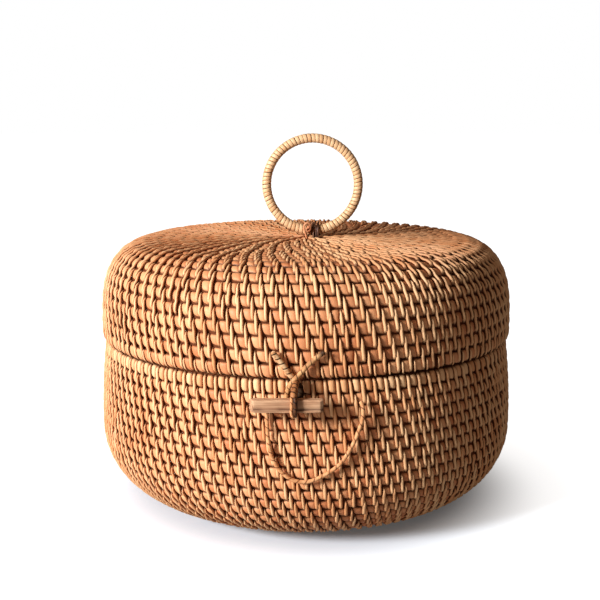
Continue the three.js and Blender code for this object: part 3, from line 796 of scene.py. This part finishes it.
# %% Neighbours in a row
def neighbours(rows, k):
    """The stitches across row k in order: the angle of each, and 0 or 0.5 for its half in this row.

    One that comes from the row above has leaned on, and counts as a hundredth of a radian further on.
    """
    here = rows[k]
    above = rows[k - 1] if k > 0 else np.empty(0)
    half = np.repeat([0, 0.5], [len(here), len(above)])
    turn = (np.concatenate([here, above]) + half * 0.02) % (2 * np.pi)
    order = np.argsort(turn)
    return turn[order], half[order]


def block_table(basket, first, last):
    """Top and foot of the row, and angle and half of both neighbours, each as a column over all pairs."""
    table = []
    for k in range(first, last):
        angle, half = neighbours(basket.rows, k)
        following = np.append(angle[1:], angle[0] + 2 * np.pi)
        ends = np.full((2, len(angle)), [[basket.edges[k]], [basket.edges[k + 1]]])
        table.append(np.stack([*ends, angle, half, following, np.roll(half, -1)]))
    return np.concatenate(table, axis=1)[..., None]


print("row 10 of the base has", len(neighbours(base.rows, 10)[0]), "stitches across it")

# %% Blocks between the stitches of a row
LEAST_ROOM = 0.9
DEEPEST = 1.7


def stitch_side(angle, t, radius, tip, side):
    """The angle of a stitch's left edge for side -1 and of its right edge for side 1."""
    return angle + (stitch_drift(t, angle) + side * stitch_width(t, tip) / 2) / radius


def blocks(name, basket, first, last, steps=7, puff=0.0, thickness=1.0, tip=TIP, barrel=0.0, margin=0.03,
           cut=0.2, under=0.4):
    """Single-coil turns in the spaces that are wide enough, drawn in by the cut at the lower left.

    Their left edges lie under the stitch beside them. Puff lifts them, a barrel narrows at both ends, and
    the margin is kept free at the row's two edges. Each stops a little short of it by its own amount, and
    its foot is askew. They lie deeper on the box's right side, but never under the coil's own surface.
    """
    top, foot, angle_a, half_a, angle_b, half_b = block_table(basket, first, last)
    t = np.linspace(0, 1, steps)
    length = top + (foot - top) * (margin + (1 - 2 * margin) * t)
    short = np.abs(rng.normal(0, 0.22, (2, len(top), 1))) * basket.way
    length = length + short[0] * (1 - t) - short[1] * t
    radius = basket.outline.radius(length, NEAR_AXIS)
    left = stitch_side(angle_a, half_a + t / 2, radius, tip, 1)
    right = stitch_side(angle_b, half_b + t / 2, radius, tip, -1)
    keep = ((right - left) * radius).mean(axis=1) > LEAST_ROOM
    left, right, radius, length = left[keep], right[keep], radius[keep], length[keep]
    lower_corner, upper_corner = np.clip((t - 0.5) / 0.5, 0, 1) ** 2, np.clip((0.3 - t) / 0.3, 0, 1) ** 1.5
    pinch = (right - left) * barrel * np.abs(2 * t - 1) ** 3
    left = left - under / radius + (right - left) * (lower_corner * cut + upper_corner * 0.08) + pinch
    right = right + 0.15 / radius - pinch
    bulge = np.abs(rng.normal(0, 0.12, (len(left), 1)))
    deeper = np.cos(left[:, :1]).clip(0) ** 1.6
    depth = np.minimum(1.0 - puff + deeper + bulge, DEEPEST)
    lift = -depth - np.abs(2 * t - 1) ** 3.6
    tone = rng.normal(0.5, 0.28, len(left)).clip(0, 1)
    return lay_strips(name, basket, length, left, right, lift, thickness, tone, slant=0.45)


print("blocks fill the spaces of more than", LEAST_ROOM, "mm")

# %% Lining
def lining(name, basket, first, last):
    """The turns as they show inside the wall: plain and close, over one coil each."""
    top, foot, angle_a, _, angle_b, _ = block_table(basket, first, last)
    keep = ((angle_b - angle_a) * basket.outline.radius(top, 3.0))[:, 0] > 0.7
    top, foot, angle_a, angle_b = top[keep], foot[keep], angle_a[keep], angle_b[keep]
    t = np.linspace(0, 1, 5)
    length = top + (foot - top) * (0.04 + 0.92 * t)
    radius = basket.outline.radius(length, NEAR_AXIS)
    left = angle_a + (stitch_drift(t, angle_a) * 0.6 + 0.1) / radius
    right = angle_b + (stitch_drift(t, angle_b) * 0.6 - 0.1) / radius
    lift = 0.05 - wall + 1.2 * np.abs(2 * t - 1) ** 2.6
    tone = rng.normal(0.5, 0.24, len(left)).clip(0, 1)
    return lay_strips(name, basket, length, left, right, lift, 0.8, tone, facing=-1)


print("the lining lies about", wall, "mm behind the face of the wall")

# %% [markdown]
# ## Finish of the peel
# Rattan peel is honey coloured with a soft shine. Each strip is painted paler along its crown, palest a
# little left of its middle, as painted highlight, and a deep orange brown towards its edges and at its
# ends, where it goes under its neighbours, as painted shade. The marks `across`, `along` and `tone` on
# each strip drive this: one strip differs from the next, and fine fibres run along each.

# %% Peel on the baskets
CROWN_SHADE_SHARE = 0.42


def peel_material(name, pale, honey, edge, deep, roughness=0.5, crown_shade_share=0.0):
    """Peel that goes from pale to honey by the strip's tone, and to edge and deep colours at its borders.

    The edge and deep colours at its borders are painted shade, and its palest part, a little left of the
    middle, is a painted highlight. The crown shade share is how much browner it is painted on top of the lid
    towards both sides, most at the right: painted shade. The lid's shoulder is painted a little paler, as
    painted light.
    """
    pale, honey, edge, deep = paint(*pale), paint(*honey), paint(*edge), paint(*deep)
    bench = Bench(name, roughness, 0.28)
    across, along, tone = (bench.attribute(key) for key in ("across", "along", "tone"))
    place = bench.object_place()
    fibres = bench.noise(bench.joined(across * 2.2 + tone * 91, along * 0.9, tone * 37), 2.6, 3.0)
    patches = bench.noise(place, 26.0, 2.0)
    blend_in = bench.soft_step(tone * 0.55 + patches * 0.75 + fibres * 0.3, 0.5, 1.1)
    to_right, _, height = bench.parts(place)
    # Painted shade: the top of the lid is painted browner towards both sides, most at the right.
    crown_shade_sides = bench.soft_step(to_right, -0.03, 0.08) + bench.soft_step(to_right, -0.03, -0.08) * 0.7
    crown = bench.soft_step(height, 0.142, 0.152) * crown_shade_sides * crown_shade_share
    # Painted light: the lid's shoulder is painted a little paler.
    shoulder_light = bench.soft_step(height, 0.118, 0.134) * (1 - bench.soft_step(height, 0.146, 0.1515)) * 0.35
    body = bench.mix(shoulder_light, bench.mix(blend_in, pale, honey), pale)
    body = bench.mix(crown, body, edge)
    # Painted shade and highlight: the edge colour grows towards both borders, more on the right, so that each
    # strip is palest a little left of its middle.
    body = bench.mix(bench.soft_step(abs(across + 0.18), 0.35, 1.1) * 0.75, body, edge)
    # Painted shade: the ends and the flanks of each strip, where it goes under its neighbours, are painted
    # deep brown.
    tip_shade = bench.soft_step(abs(along * 2 - 1), 0.78, 1.0)
    flank_shade = bench.soft_step(abs(across), 0.78, 1.0)
    colour = bench.mix(tip_shade.or_more(flank_shade) * 0.8, body, deep)
    return bench.finish(colour, fibres, 0.00012)


stitch_peel = peel_material("stitch_peel", (247, 199, 149), (223, 156, 103), (172, 90, 46), (86, 36, 17),
                            crown_shade_share=CROWN_SHADE_SHARE)
# Painted shade: the blocks and the crown's blocks are the same peel as the stitches, painted darker and
# redder for the recess that they lie in.
block_peel = peel_material("block_peel", (238, 172, 122), (204, 127, 82), (158, 77, 41), (68, 29, 14),
                           crown_shade_share=CROWN_SHADE_SHARE)
crown_peel = peel_material("crown_peel", (230, 168, 118), (198, 126, 82), (146, 72, 38), (58, 24, 12),
                           crown_shade_share=CROWN_SHADE_SHARE)
lining_peel = peel_material("lining_peel", (216, 168, 118), (188, 130, 82), (150, 92, 52), (84, 44, 24))


def core_material():
    """The cane inside, seen only as a dark line between two turns."""
    bench = Bench("shaded_core", 0.8, 0.15)
    streaks = bench.noise(bench.object_place(), 900.0, 2.0)
    # Painted shade: the core is painted dark brown for the shade in the gaps between the turns.
    colour = bench.mix(streaks, paint(84, 40, 20), paint(122, 64, 34))
    return bench.finish(colour, streaks, 0.0002)


shaded_core = core_material()
peels = (stitch_peel, block_peel, crown_peel, lining_peel, shaded_core)
print("peel finishes:", ", ".join(material.name for material in peels))

# %% [markdown]
# ## The coils under the strips
# Under the peel lies the cane itself. It closes the wall, so that no light comes through between two
# stitches. Its outline has one ridge for each row, inside and out, and it is turned like a pot.

# %% Cores of both baskets
BEHIND_FACE = 1.9
BEHIND_LINING = 1.1
RIDGE = 0.9


def core(name, basket, first, last, steps=6, turns=180):
    """A turned shell between two rows, with a ridge for each row on both faces of the wall."""
    ends = np.sort(basket.edges[first:last + 1])
    length = np.concatenate([np.linspace(a, b, steps, endpoint=False) for a, b in zip(ends, ends[1:])])
    share = np.tile(np.linspace(0, 1, steps, endpoint=False), len(ends) - 1)
    length, share = np.append(length, ends[-1]), np.append(share, 1)
    groove = RIDGE * np.abs(2 * share - 1) ** 2.6
    outside = basket.outline.point(length, 0.0, -BEHIND_FACE - groove)
    inside = basket.outline.point(length, 0.0, -wall + BEHIND_LINING + groove)
    radius, _, height = np.concatenate([outside, inside[::-1]]).T
    angle = np.linspace(0, 2 * np.pi, turns, endpoint=False)[:, None]
    return skin(name, turned(radius, angle, height)[None], closed=True)


dress(core("base_core", base, 1, base.last), "base", "cane_core", shaded_core)
dress(core("base_rim_core", base, 0, 1), "base", "cane_core", shaded_core)
dress(core("lid_core", lid, 0, lid.last - 1), "lid", "cane_core", shaded_core)
dress(core("lid_rim_core", lid, lid.last - 1, lid.last), "lid", "cane_core", shaded_core)

# %% [markdown]
# ## Sewing the base
# The rows run from the rim, row 0, down the wall, round the foot and in to the middle of the floor. The
# rim row is the heavier coil: its blocks are round pillows, and only the stitches that go on into the
# row below divide them. The floor is seen only when the box is lifted, so its strips have fewer steps.

# %% Base basket
foot_row = base.row_near(base_line.at_height(FOOT_HEIGHT))
dress(stitches("base_stitches", base, 1, foot_row), "base", "cane_coil", stitch_peel, "base_basket")
dress(stitches("base_rim_stitches", base, 0, 1, steps=9, tip=RIM_TIP), "base", "cane_rim", stitch_peel)
dress(blocks("base_blocks", base, 1, foot_row), "base", "cane_coil", block_peel)
floor_stitches = stitches("base_floor_stitches", base, foot_row, base.last - 1, steps=5, lower=0.1)
dress(floor_stitches, "base", "cane_coil", stitch_peel)
dress(blocks("base_floor_blocks", base, foot_row, base.last, steps=4), "base", "cane_coil", block_peel)
pillows = blocks("base_rim_pillows", base, 0, 1, steps=11, puff=0.9, thickness=1.9, tip=RIM_TIP, barrel=0.1,
                 margin=0.02, cut=0.0, under=0.0)
dress(pillows, "base", "cane_rim", stitch_peel, "base_rim_coil")
dress(lining("base_wall_lining", base, 0, foot_row), "base", "cane_coil", lining_peel)
dress(lining("base_floor_lining", base, foot_row, base.last), "base", "cane_coil", lining_peel)
print("the foot begins at row", foot_row, "of", base.last)

# %% [markdown]
# ## Sewing the lid
# The lid is worked from the middle of its crown outwards. Its last row, along the seam, is the heavier
# coil: the stitches of the row above end there, and short thin ones that lean to the right lie between.

# %% Lid basket
CROWN_REACH = 92.0
crown_last = lid.row_near(CROWN_REACH)
dress(stitches("lid_stitches", lid, 0, lid.last - 2), "lid", "cane_coil", stitch_peel, "lid_basket")
last_stitches = stitches("lid_last_stitches", lid, lid.last - 2, lid.last - 1, flare=0.4)
dress(last_stitches, "lid", "cane_coil", stitch_peel)
dress(blocks("lid_crown_blocks", lid, 0, crown_last, puff=0.35), "lid", "cane_coil", crown_peel)
dress(blocks("lid_blocks", lid, crown_last, lid.last - 1), "lid", "cane_coil", block_peel)
rim_blocks = blocks("lid_rim_blocks", lid, lid.last - 1, lid.last, steps=8, puff=1.05, margin=0.01)
dress(rim_blocks, "lid", "cane_rim", block_peel, "lid_rim_coil")


def rim_slivers(name, basket):
    """Short thin strips over the lid's last coil, curved to the right towards the seam."""
    t = np.linspace(0, 1, 7)
    start = basket.rows[-1][:, None]
    top, foot = basket.edges[-2:]
    length = top + (foot - top) * (0.05 + 0.95 * t)
    radius = basket.outline.radius(length)
    drift = 1.1 * t**2 + 0.3
    wide = 1.35 * np.sin(np.pi * (0.12 + 0.76 * t)) ** 0.7
    lift = 0.3 - 1.1 * np.abs(2 * t - 1) ** 4
    tone = rng.normal(0.45, 0.2, len(start)).clip(0, 1)
    left, right = start + (drift - wide / 2) / radius, start + (drift + wide / 2) / radius
    return lay_strips(name, basket, length, left, right, lift, 0.8, tone)


dress(rim_slivers("lid_rim_slivers", lid), "lid", "cane_rim", stitch_peel)
dress(lining("lid_lining", lid, 0, lid.last), "lid", "cane_coil", lining_peel)
print("the crown ends at row", crown_last, "of", lid.last)

# %% [markdown]
# ## The ring
# The ring is a bent cane wound from end to end with one strip. Stripes on a smooth torus would not show
# the steps between its turns, so the strip is made too: a flat section that goes round the cane 72 times
# while it goes round the ring once, and leaves a small bare stretch under the lashing. The strip narrows
# on the inside of the bend, where its turns crowd together.

# %% Cane of the ring
def box_of(node):
    """The low and the high corner of a packed node, in millimetres."""
    return [np.array(corner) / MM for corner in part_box(node)]


ring_low, ring_high = box_of("ring_hoop")
ring_middle = (ring_low + ring_high) / 2
hoop_radius = (ring_high[1] - ring_low[1]) / 2
bend_radius = (ring_high[0] - ring_low[0]) / 2 - hoop_radius


def ring_place(around, turn, out, offset=0.0):
    """A point on the ring: the angle round it, the angle round its cane, and how far out of its middle.

    The offset makes the ring itself that much wider.
    """
    reach_out = bend_radius + offset + out * np.cos(turn)
    x = ring_middle[0] + reach_out * np.cos(around)
    z = ring_middle[2] + reach_out * np.sin(around)
    return np.stack(np.broadcast_arrays(x, ring_middle[1] + out * np.sin(turn), z), axis=-1)


hoop_around = np.linspace(0, 2 * np.pi, 120, endpoint=False)[:, None]
hoop_turn = np.linspace(0, 2 * np.pi, 14, endpoint=False)
hoop = skin("ring_cane", ring_place(hoop_around, hoop_turn, hoop_radius)[None], closed=True)

# %% Winding of the ring
RING_TURNS = 72
STEPS_A_TURN = 20
STRIP_RISE = 1.0
BARE_ANGLE = 0.06
strip_foot = hoop_radius + 0.02


def uv_grid(across, along):
    """UV places from the ones across each ring and the one of each step along."""
    return np.stack(np.broadcast_arrays(across, along[:, None]), axis=-1)


share = np.linspace(0, 1, RING_TURNS * STEPS_A_TURN + 1)
wound_angle = 2 * np.pi - 2 * BARE_ANGLE
wobble = 0.16 * np.sin(share * 41 * np.pi) + 0.12 * np.sin(share * 97 * np.pi + 1)
strip_around = -np.pi / 2 + BARE_ANGLE + share * wound_angle
strip_turn = share * RING_TURNS * 2 * np.pi + wobble
side_share = np.array([-0.5, -0.34, 0.0, 0.34, 0.5, 0.0])
side_rise = np.array([0.8, 0.96, 1.0, 0.97, 0.86, 0.0])
strip_sides = strip_around[:, None] + 0.97 * wound_angle / RING_TURNS * side_share
strip_points = ring_place(strip_sides, strip_turn[:, None], strip_foot + STRIP_RISE * side_rise, 0.2)
ring_strip = skin("ring_winding", strip_points[None], uv_grid(np.linspace(0, 1, 7), share * RING_TURNS))
print("ring outside radius:", round(bend_radius + strip_foot + STRIP_RISE, 2), "mm")

# %% Ring finishes
def strip_material():
    """Pale satin peel: paler along the strip's middle, browner at both edges, and slow changes by turn."""
    bench = Bench("ring_peel", 0.42, 0.45)
    sideways, turn = bench.uv_place()
    fibres = bench.noise(bench.joined(sideways * 9, turn * 1.3), 2.0, 3.0)
    by_turn = bench.noise(bench.joined(turn * 0.7, 3.0), 1.0, 1.0)
    body = bench.mix(bench.soft_step(by_turn * 0.6 + fibres * 0.5, 0.35, 0.75), paint(250, 212, 166),
                     paint(226, 172, 120))
    edge = bench.soft_step(abs(sideways * 3 - 1), 0.66, 1.0)
    colour = bench.mix(edge * 0.8, body, paint(124, 70, 36))
    return bench.finish(colour, fibres, 0.00005)


def bare_cane_material():
    """Plain split cane: long pale fibres along it, with a little brown in the pores."""
    bench = Bench("bare_cane", 0.6, 0.3)
    place = bench.object_place()
    grain = bench.noise(bench.stretched(place, (260, 260, 1400)), 1.0, 4.0)
    colour = bench.mix(bench.soft_step(grain, 0.3, 0.7), paint(206, 156, 104), paint(158, 106, 62))
    return bench.finish(colour, grain, 0.0001)


ring_peel = strip_material()
bare_cane = bare_cane_material()
dress(hoop, "ring", "cane_core", bare_cane, "ring_hoop")
dress(ring_strip, "ring", "peel_strip", ring_peel, "ring_binding")
print("ring finishes:", ring_peel.name, bare_cane.name)

# %% [markdown]
# ## Lashing and tie
# Dark strips tie the ring down: they go over it and through the crown at both sides, and cross each other
# on the way. Each is a closed line with a section carried round it, and no two waver alike, because five
# equal ones would look like a machined clip. Beside them the end of a strip comes up out of the crown and
# curls over into itself.

# %% Dark lashing over the ring
LASH_TONES = np.array([0.1, 0.8, 0.35, 0.9, 0.5])
LASHES = len(LASH_TONES)
LASH_HALF = 0.5
lash_low, lash_high = box_of("handle_lashing")
lash_wide = lash_high[0] - lash_low[0]
lash_reach = lash_high[1] - LASH_HALF
lash_top = lash_high[2] - LASH_HALF - lash_reach
lash_foot = lash_low[2] + LASH_HALF
CENTRED_RISE = RISE + 0.5


def lash_line(reach_out, top, foot, corner, count):
    """A closed line over the ring: a half circle on two straight legs, joined by a flat foot."""
    arc = np.linspace(0, np.pi, count)
    leg = np.linspace(top, foot + corner, count)
    sole = np.linspace(corner - reach_out, reach_out - corner, count)
    over = np.stack([reach_out * np.cos(arc), top + reach_out * np.sin(arc)], axis=1)
    down = np.stack([np.full(count, -reach_out), leg], axis=1)[1:]
    across = np.stack([sole, np.full(count, foot)], axis=1)
    up = np.stack([np.full(count, reach_out), leg[::-1]], axis=1)[:-1]
    return np.concatenate([over, down, across, up])


def lash(number):
    """One strip over the ring. Its middle and its width go in waves, so that it crosses the others."""
    line = lash_line(lash_reach + 0.15 - 0.15 * (number % 3), lash_top, lash_foot, 1.0, 16)
    ahead = unit(np.roll(line, -1, axis=0) - np.roll(line, 1, axis=0))
    outward = np.stack([ahead[:, 1], -ahead[:, 0]], axis=1)[:, None]
    round_it = np.linspace(0, 2 * np.pi, len(line), endpoint=False)[:, None]
    middle = lash_low[0] + (number + 0.5) * lash_wide / LASHES
    middle = middle + 0.14 * lash_wide * np.sin(round_it * (1 + number % 2) + 2.4 * number)
    half_wide = lash_wide / LASHES / 2 * (1.15 + 0.3 * np.sin(round_it * 3 + number))
    lump = 0.2 * np.sin(round_it * 4 + 1.7 * number)
    section = line[:, None] + outward * (0.8 * CENTRED_RISE + lump)[..., None]
    return np.concatenate([(middle + half_wide * ACROSS)[..., None], section], axis=-1)


lash_points = np.array([lash(number) for number in range(LASHES)])
lash_piece = skin("dark_lashing_strips", lash_points, closed=True, across=ACROSS, along=0.5,
                  tone=LASH_TONES[:, None, None])
dark_peel = peel_material("dark_peel", (124, 84, 62), (70, 38, 22), (44, 22, 12), (30, 14, 8), roughness=0.4)
dress(lash_piece, "lid", "dark_lashing", dark_peel, "handle_lashing")

# %% Curled strip end beside the lashing
ring_foot = np.array([ring_middle[0], 0.0, ring_middle[2] - bend_radius])
curl_route = ring_foot + np.array([
    (-3.2, -4.6, -4.6), (-3.9, -4.7, -2.6), (-4.6, -4.8, -0.4), (-4.95, -4.9, 1.6), (-4.4, -5.0, 3.8),
    (-3.0, -5.0, 4.5), (-1.6, -5.0, 3.9), (-1.15, -5.0, 2.0), (-1.6, -5.0, 0.2), (-2.9, -5.0, -0.3),
    (-3.7, -5.0, 0.7), (-3.2, -5.1, 1.6), (-2.4, -5.1, 1.4), (-2.5, -5.1, 2.5), (-3.3, -5.1, 2.9),
])


def flat_strip(route, width, thickness, step=0.25):
    """A flat strip along a route that lies about square to Y: wide along Y and thin across the route."""
    path, along = smooth_path(route, step)
    ahead = unit(np.gradient(path, axis=0))
    wide = np.array([0.0, 1.0, 0.0])
    out = unit(np.cross(ahead, wide))
    taper = np.clip(np.minimum(along, along[-1] - along) / 1.5, 0.45, 1)[:, None, None]
    points = path[:, None] + taper * width / 2 * ACROSS[:, None] * wide
    points = points + thickness * CENTRED_RISE[:, None] * out[:, None]
    return points[None], along / along[-1]


curl_points, curl_along = flat_strip(curl_route, 3.2, 1.05)
curl = skin("tie_curl", curl_points, across=ACROSS, along=0.12 + 0.7 * curl_along[:, None], tone=0.4)
curl_peel = peel_material("curl_peel", (240, 172, 128), (222, 148, 102), (186, 104, 58), (124, 60, 28))
dress(curl, "lid", "peel_strip", curl_peel, "handle_tie_knot")

# %% [markdown]
# ## Rear hinges
# The lid hangs on two pairs of cane loops at the back. The lid's loop has a straight bar that lies on
# the hinge line, and the base's loop goes over it like an eye. Both are wound cords, with routes worked out
# from the seam, the walls and the hinge line, so that they follow these.

# %% Hinge loops
HINGE_Y = 123.541
HINGE_EYE = 2.5
HINGE_X = 18.0
END_OUT = 0.3


def behind(outline, x, height):
    """How far behind the axis a loop's end is at x from the middle: a little outside of the wall's face."""
    return float(np.sqrt(outline.radius(outline.at_height(height)) ** 2 - x**2)) + END_OUT


def lid_loop_route(x):
    """Out of the lid's wall, straight along the hinge line and in again at the same height."""
    height, half_bar, splay = seam + 4, 5.0, 1.2
    feet = [x + side * (half_bar + splay) for side in (-1, 1)]
    ends = [(foot, behind(lid_line, foot, height), height) for foot in feet]
    legs = [(end[0], (end[1] + HINGE_Y) / 2, height - 1) for end in ends]
    bar = [(x + part * half_bar, HINGE_Y, seam) for part in (-1, -0.5, 0.5, 1)]
    return [ends[0], legs[0], *bar, legs[1], ends[1]]


def base_loop_route(x):
    """Out of the base's wall, up and round the lid's bar in an arc, and down and in again."""
    low, high = seam - 10, seam - 4.6
    start, end = behind(base_line, x, low), behind(base_line, x, high)
    outer, inner = HINGE_Y + HINGE_EYE, HINGE_Y - HINGE_EYE
    rise = [(x, start, low), (x, start + HINGE_EYE, low + HINGE_EYE / 2), (x, outer, (low + seam) / 2),
            (x, outer, seam)]
    arc = [(x, HINGE_Y - HINGE_EYE * np.cos(a), seam + HINGE_EYE * np.sin(a))
           for a in np.radians([150, 120, 90, 60, 30])]
    fall = [(x, inner, seam), (x, inner, (high + seam) / 2), (x, end, high)]
    return [*rise, *arc, *fall]


for side, x in (("left", -HINGE_X), ("right", HINGE_X)):
    wound_cord(f"lid_hinge_cane_{side}", lid_loop_route(x), 1.2, 2.6, 0.12, "lid", pale_cord,
               f"lid_hinge_loop_{side}", sides=16)
    wound_cord(f"base_hinge_cane_{side}", base_loop_route(x), 1.0, 2.4, 0.12, "base", pale_cord,
               f"base_hinge_loop_{side}", sides=16)

# %% [markdown]
# ## Inside the rim
# A flat hoop of split cane stands inside the rim and keeps the lid in its place. It is turned like the
# cores, with a section that is nearly a rectangle. Cords that come through the wall are stopped inside by
# a small overhand knot each, and a trefoil line is such a knot with its ends joined.

# %% Collar
COLLAR_THICK = 2.5
COLLAR_CORNERS = 24
COLLAR_TURNS = 240


def squared(wave, power):
    """A sine or cosine drawn out towards 1 and -1, which turns a round section into a square one."""
    return np.sign(wave) * np.abs(wave) ** (2 / power)


collar_low, collar_high = box_of("locating_collar")
collar_half = (collar_high[2] - collar_low[2]) / 2
corner_angle = np.linspace(0, 2 * np.pi, COLLAR_CORNERS, endpoint=False)
collar_radius = collar_high[0] - COLLAR_THICK / 2 * (1 - squared(np.cos(corner_angle), 6))
collar_height = collar_low[2] + collar_half * (1 + squared(np.sin(corner_angle), 6))
turn_angle = np.linspace(0, 2 * np.pi, COLLAR_TURNS, endpoint=False)[:, None]
collar_uv = uv_grid(np.linspace(0, 1, COLLAR_CORNERS + 1), np.linspace(0, 1, COLLAR_TURNS + 1))
collar = skin("collar_hoop", turned(collar_radius, turn_angle, collar_height)[None], collar_uv, closed=True)


def collar_material():
    """Split cane bent on the flat, with its fibres round the hoop."""
    bench = Bench("collar_cane", 0.55, 0.35)
    sideways, around = bench.uv_place()
    grain = bench.noise(bench.joined(sideways * 60, around * 40), 1.0, 4.0)
    patches = bench.noise(bench.joined(sideways * 2, around * 12), 1.0, 1.0)
    colour = bench.mix(bench.soft_step(grain * 0.6 + patches * 0.4, 0.35, 0.65), paint(222, 176, 122),
                       paint(172, 116, 68))
    return bench.finish(colour, grain, 0.0001)


dress(collar, "base", "cane_core", collar_material(), "locating_collar")

# %% Knots inside the walls
def knot(name, node, body, steps=96, sides=10, cord_radius=0.62):
    """An overhand knot: a closed trefoil line, scaled to fit the space of its node."""
    low, high = box_of(node)
    a = np.linspace(0, 2 * np.pi, steps, endpoint=False)
    reach_out = (high - low).min() / 2 - 0.6
    line = (low + high) / 2 + turned(2 + np.cos(3 * a), 2 * a, np.sin(3 * a)) * reach_out / 3
    side, up = square_directions(np.concatenate([line, line[:1]]))
    ring = np.linspace(0, 2 * np.pi, sides, endpoint=False)[:, None]
    around = side[:-1, None] * np.cos(ring) + up[:-1, None] * np.sin(ring)
    winding = np.linspace(0, 1, sides + 1) + np.linspace(0, 14, steps + 1)[:, None]
    uv = uv_grid(winding, np.linspace(0, 28, steps + 1))
    piece = skin(name, (line[:, None] + cord_radius * around)[None], uv, closed=True)
    return dress(piece, body, "cane_cord", pale_cord, node)


for body, cord in (("lid", "toggle_cord"), ("base", "closure_loop")):
    for side in ("left", "right"):
        knot(f"{body}_knot_{side}", f"{cord}_knot_{side}", body)

# %% [markdown]
# ## The peg
# The peg is a short length split from a stem. Its faces are nearly flat, its edges are worn, a dark split
# runs low along its front, and its left end is cut at a slant. Its section is a superellipse with a
# groove, carried along its length with a slow unevenness.

# %% Peg
SPLIT_HEIGHT = 1.75
SPLIT_DEEP = 0.75
END_CUT = 2.0
peg_low, peg_high = box_of("toggle_peg")
peg_middle, peg_half = (peg_low + peg_high) / 2, (peg_high - peg_low) / 2


def peg_points(steps=90, sides=72):
    """A superellipse in Y and Z along X: front groove as a narrow bell in height, ends as they are cut.

    The left end is cut aslant, so that it is shorter in front, and the right one has a small bevel.
    """
    a = np.linspace(0, 2 * np.pi, sides, endpoint=False)
    y = peg_half[1] * squared(np.cos(a), 7)
    z = peg_half[2] * squared(np.sin(a), 7)
    share = np.linspace(0, 1, steps)[:, None]
    front = np.clip(-y / peg_half[1], 0, 1) ** 3
    split = -peg_half[2] + SPLIT_HEIGHT + 0.25 * np.sin(share * 7)
    groove = SPLIT_DEEP * front * np.exp(-(((z - split) / 0.28) ** 2))
    uneven = 0.05 * np.sin(share * 19 + 2 * a) + 0.03 * np.sin(share * 43 - 5 * a) + 0.05 * np.sin(9 * a)
    left = -peg_half[0] + END_CUT * (0.5 - y / peg_half[1] / 2)
    end_wear = 1 - 0.07 * (np.exp(-share * 40) + np.exp(-(1 - share) * 40))
    bevel = 0.9 * front * np.clip((share - 0.955) / 0.045, 0, 1)
    x = left + share * (peg_half[0] - left)
    y = (y * (1 - 0.03 - uneven * 0.3) * end_wear) + groove + bevel
    z = z * (1 - 0.02 - uneven * 0.3) * end_wear
    return peg_middle + np.stack(np.broadcast_arrays(x, y, z), axis=-1)


def peg_material():
    """Split wood: grey-tan with long fine grain, darker in the groove and a little redder in patches."""
    bench = Bench("peg_wood", 0.72, 0.25)
    place = bench.object_place()
    grain = bench.noise(bench.stretched(place, (60, 700, 1500)), 1.0, 5.0)
    coarse = bench.noise(bench.stretched(place, (30, 160, 260)), 1.0, 2.0)
    body = bench.mix(bench.soft_step(grain * 0.55 + coarse * 0.45, 0.36, 0.66), paint(222, 178, 140),
                     paint(176, 128, 96))
    # Painted shade: the groove is painted dark brown, for the shade inside the split.
    colour = bench.mix(bench.attribute("groove") * 0.85, body, paint(74, 40, 24))
    return bench.finish(colour, grain, 0.00018)


peg_shape = peg_points()
peg_front = peg_middle[1] - peg_half[1]
sunk_in = np.clip((peg_shape[..., 1] - peg_front) / 0.5, 0, 1) * (peg_shape[..., 1] < peg_middle[1])
# Painted shade: this marks the groove's points, which the peg's finish paints dark.
groove_shade_mark = sunk_in * (np.abs(peg_shape[..., 2] - (peg_low[2] + SPLIT_HEIGHT)) < 0.62)
peg = skin("peg", peg_shape[None], groove=groove_shade_mark[None])
dress(peg, "toggle", "peg_wood", peg_material(), "toggle_peg")

# %% Band round the peg
# Painted light: the one band round the peg is made as two cords, the pale one for its lit left half and the
# dark one for its shaded right half.
pale_turn, _ = wound_cord("peg_band_pale", pale_band_route, 0.78, 3.6, 0.08, "toggle", fine_cord, sides=16)
dark_turn, band_path = wound_cord("peg_band_dark", dark_band_route, 1.15, 3.3, 0.1, "toggle", shaded_band_cord,
                                  "toggle_binding", sides=18)
for strand, path, diameter, on_it in ((left_strand, left_path, 0.0028, [peg, dark_turn, strand_turn]),
                                      (right_strand, right_path, 0.0023, [pale_turn])):
    metres(path)[0]
    metres(path)
print("band round the peg:", round(length_of(band_path), 4), "m")

# %% [markdown]
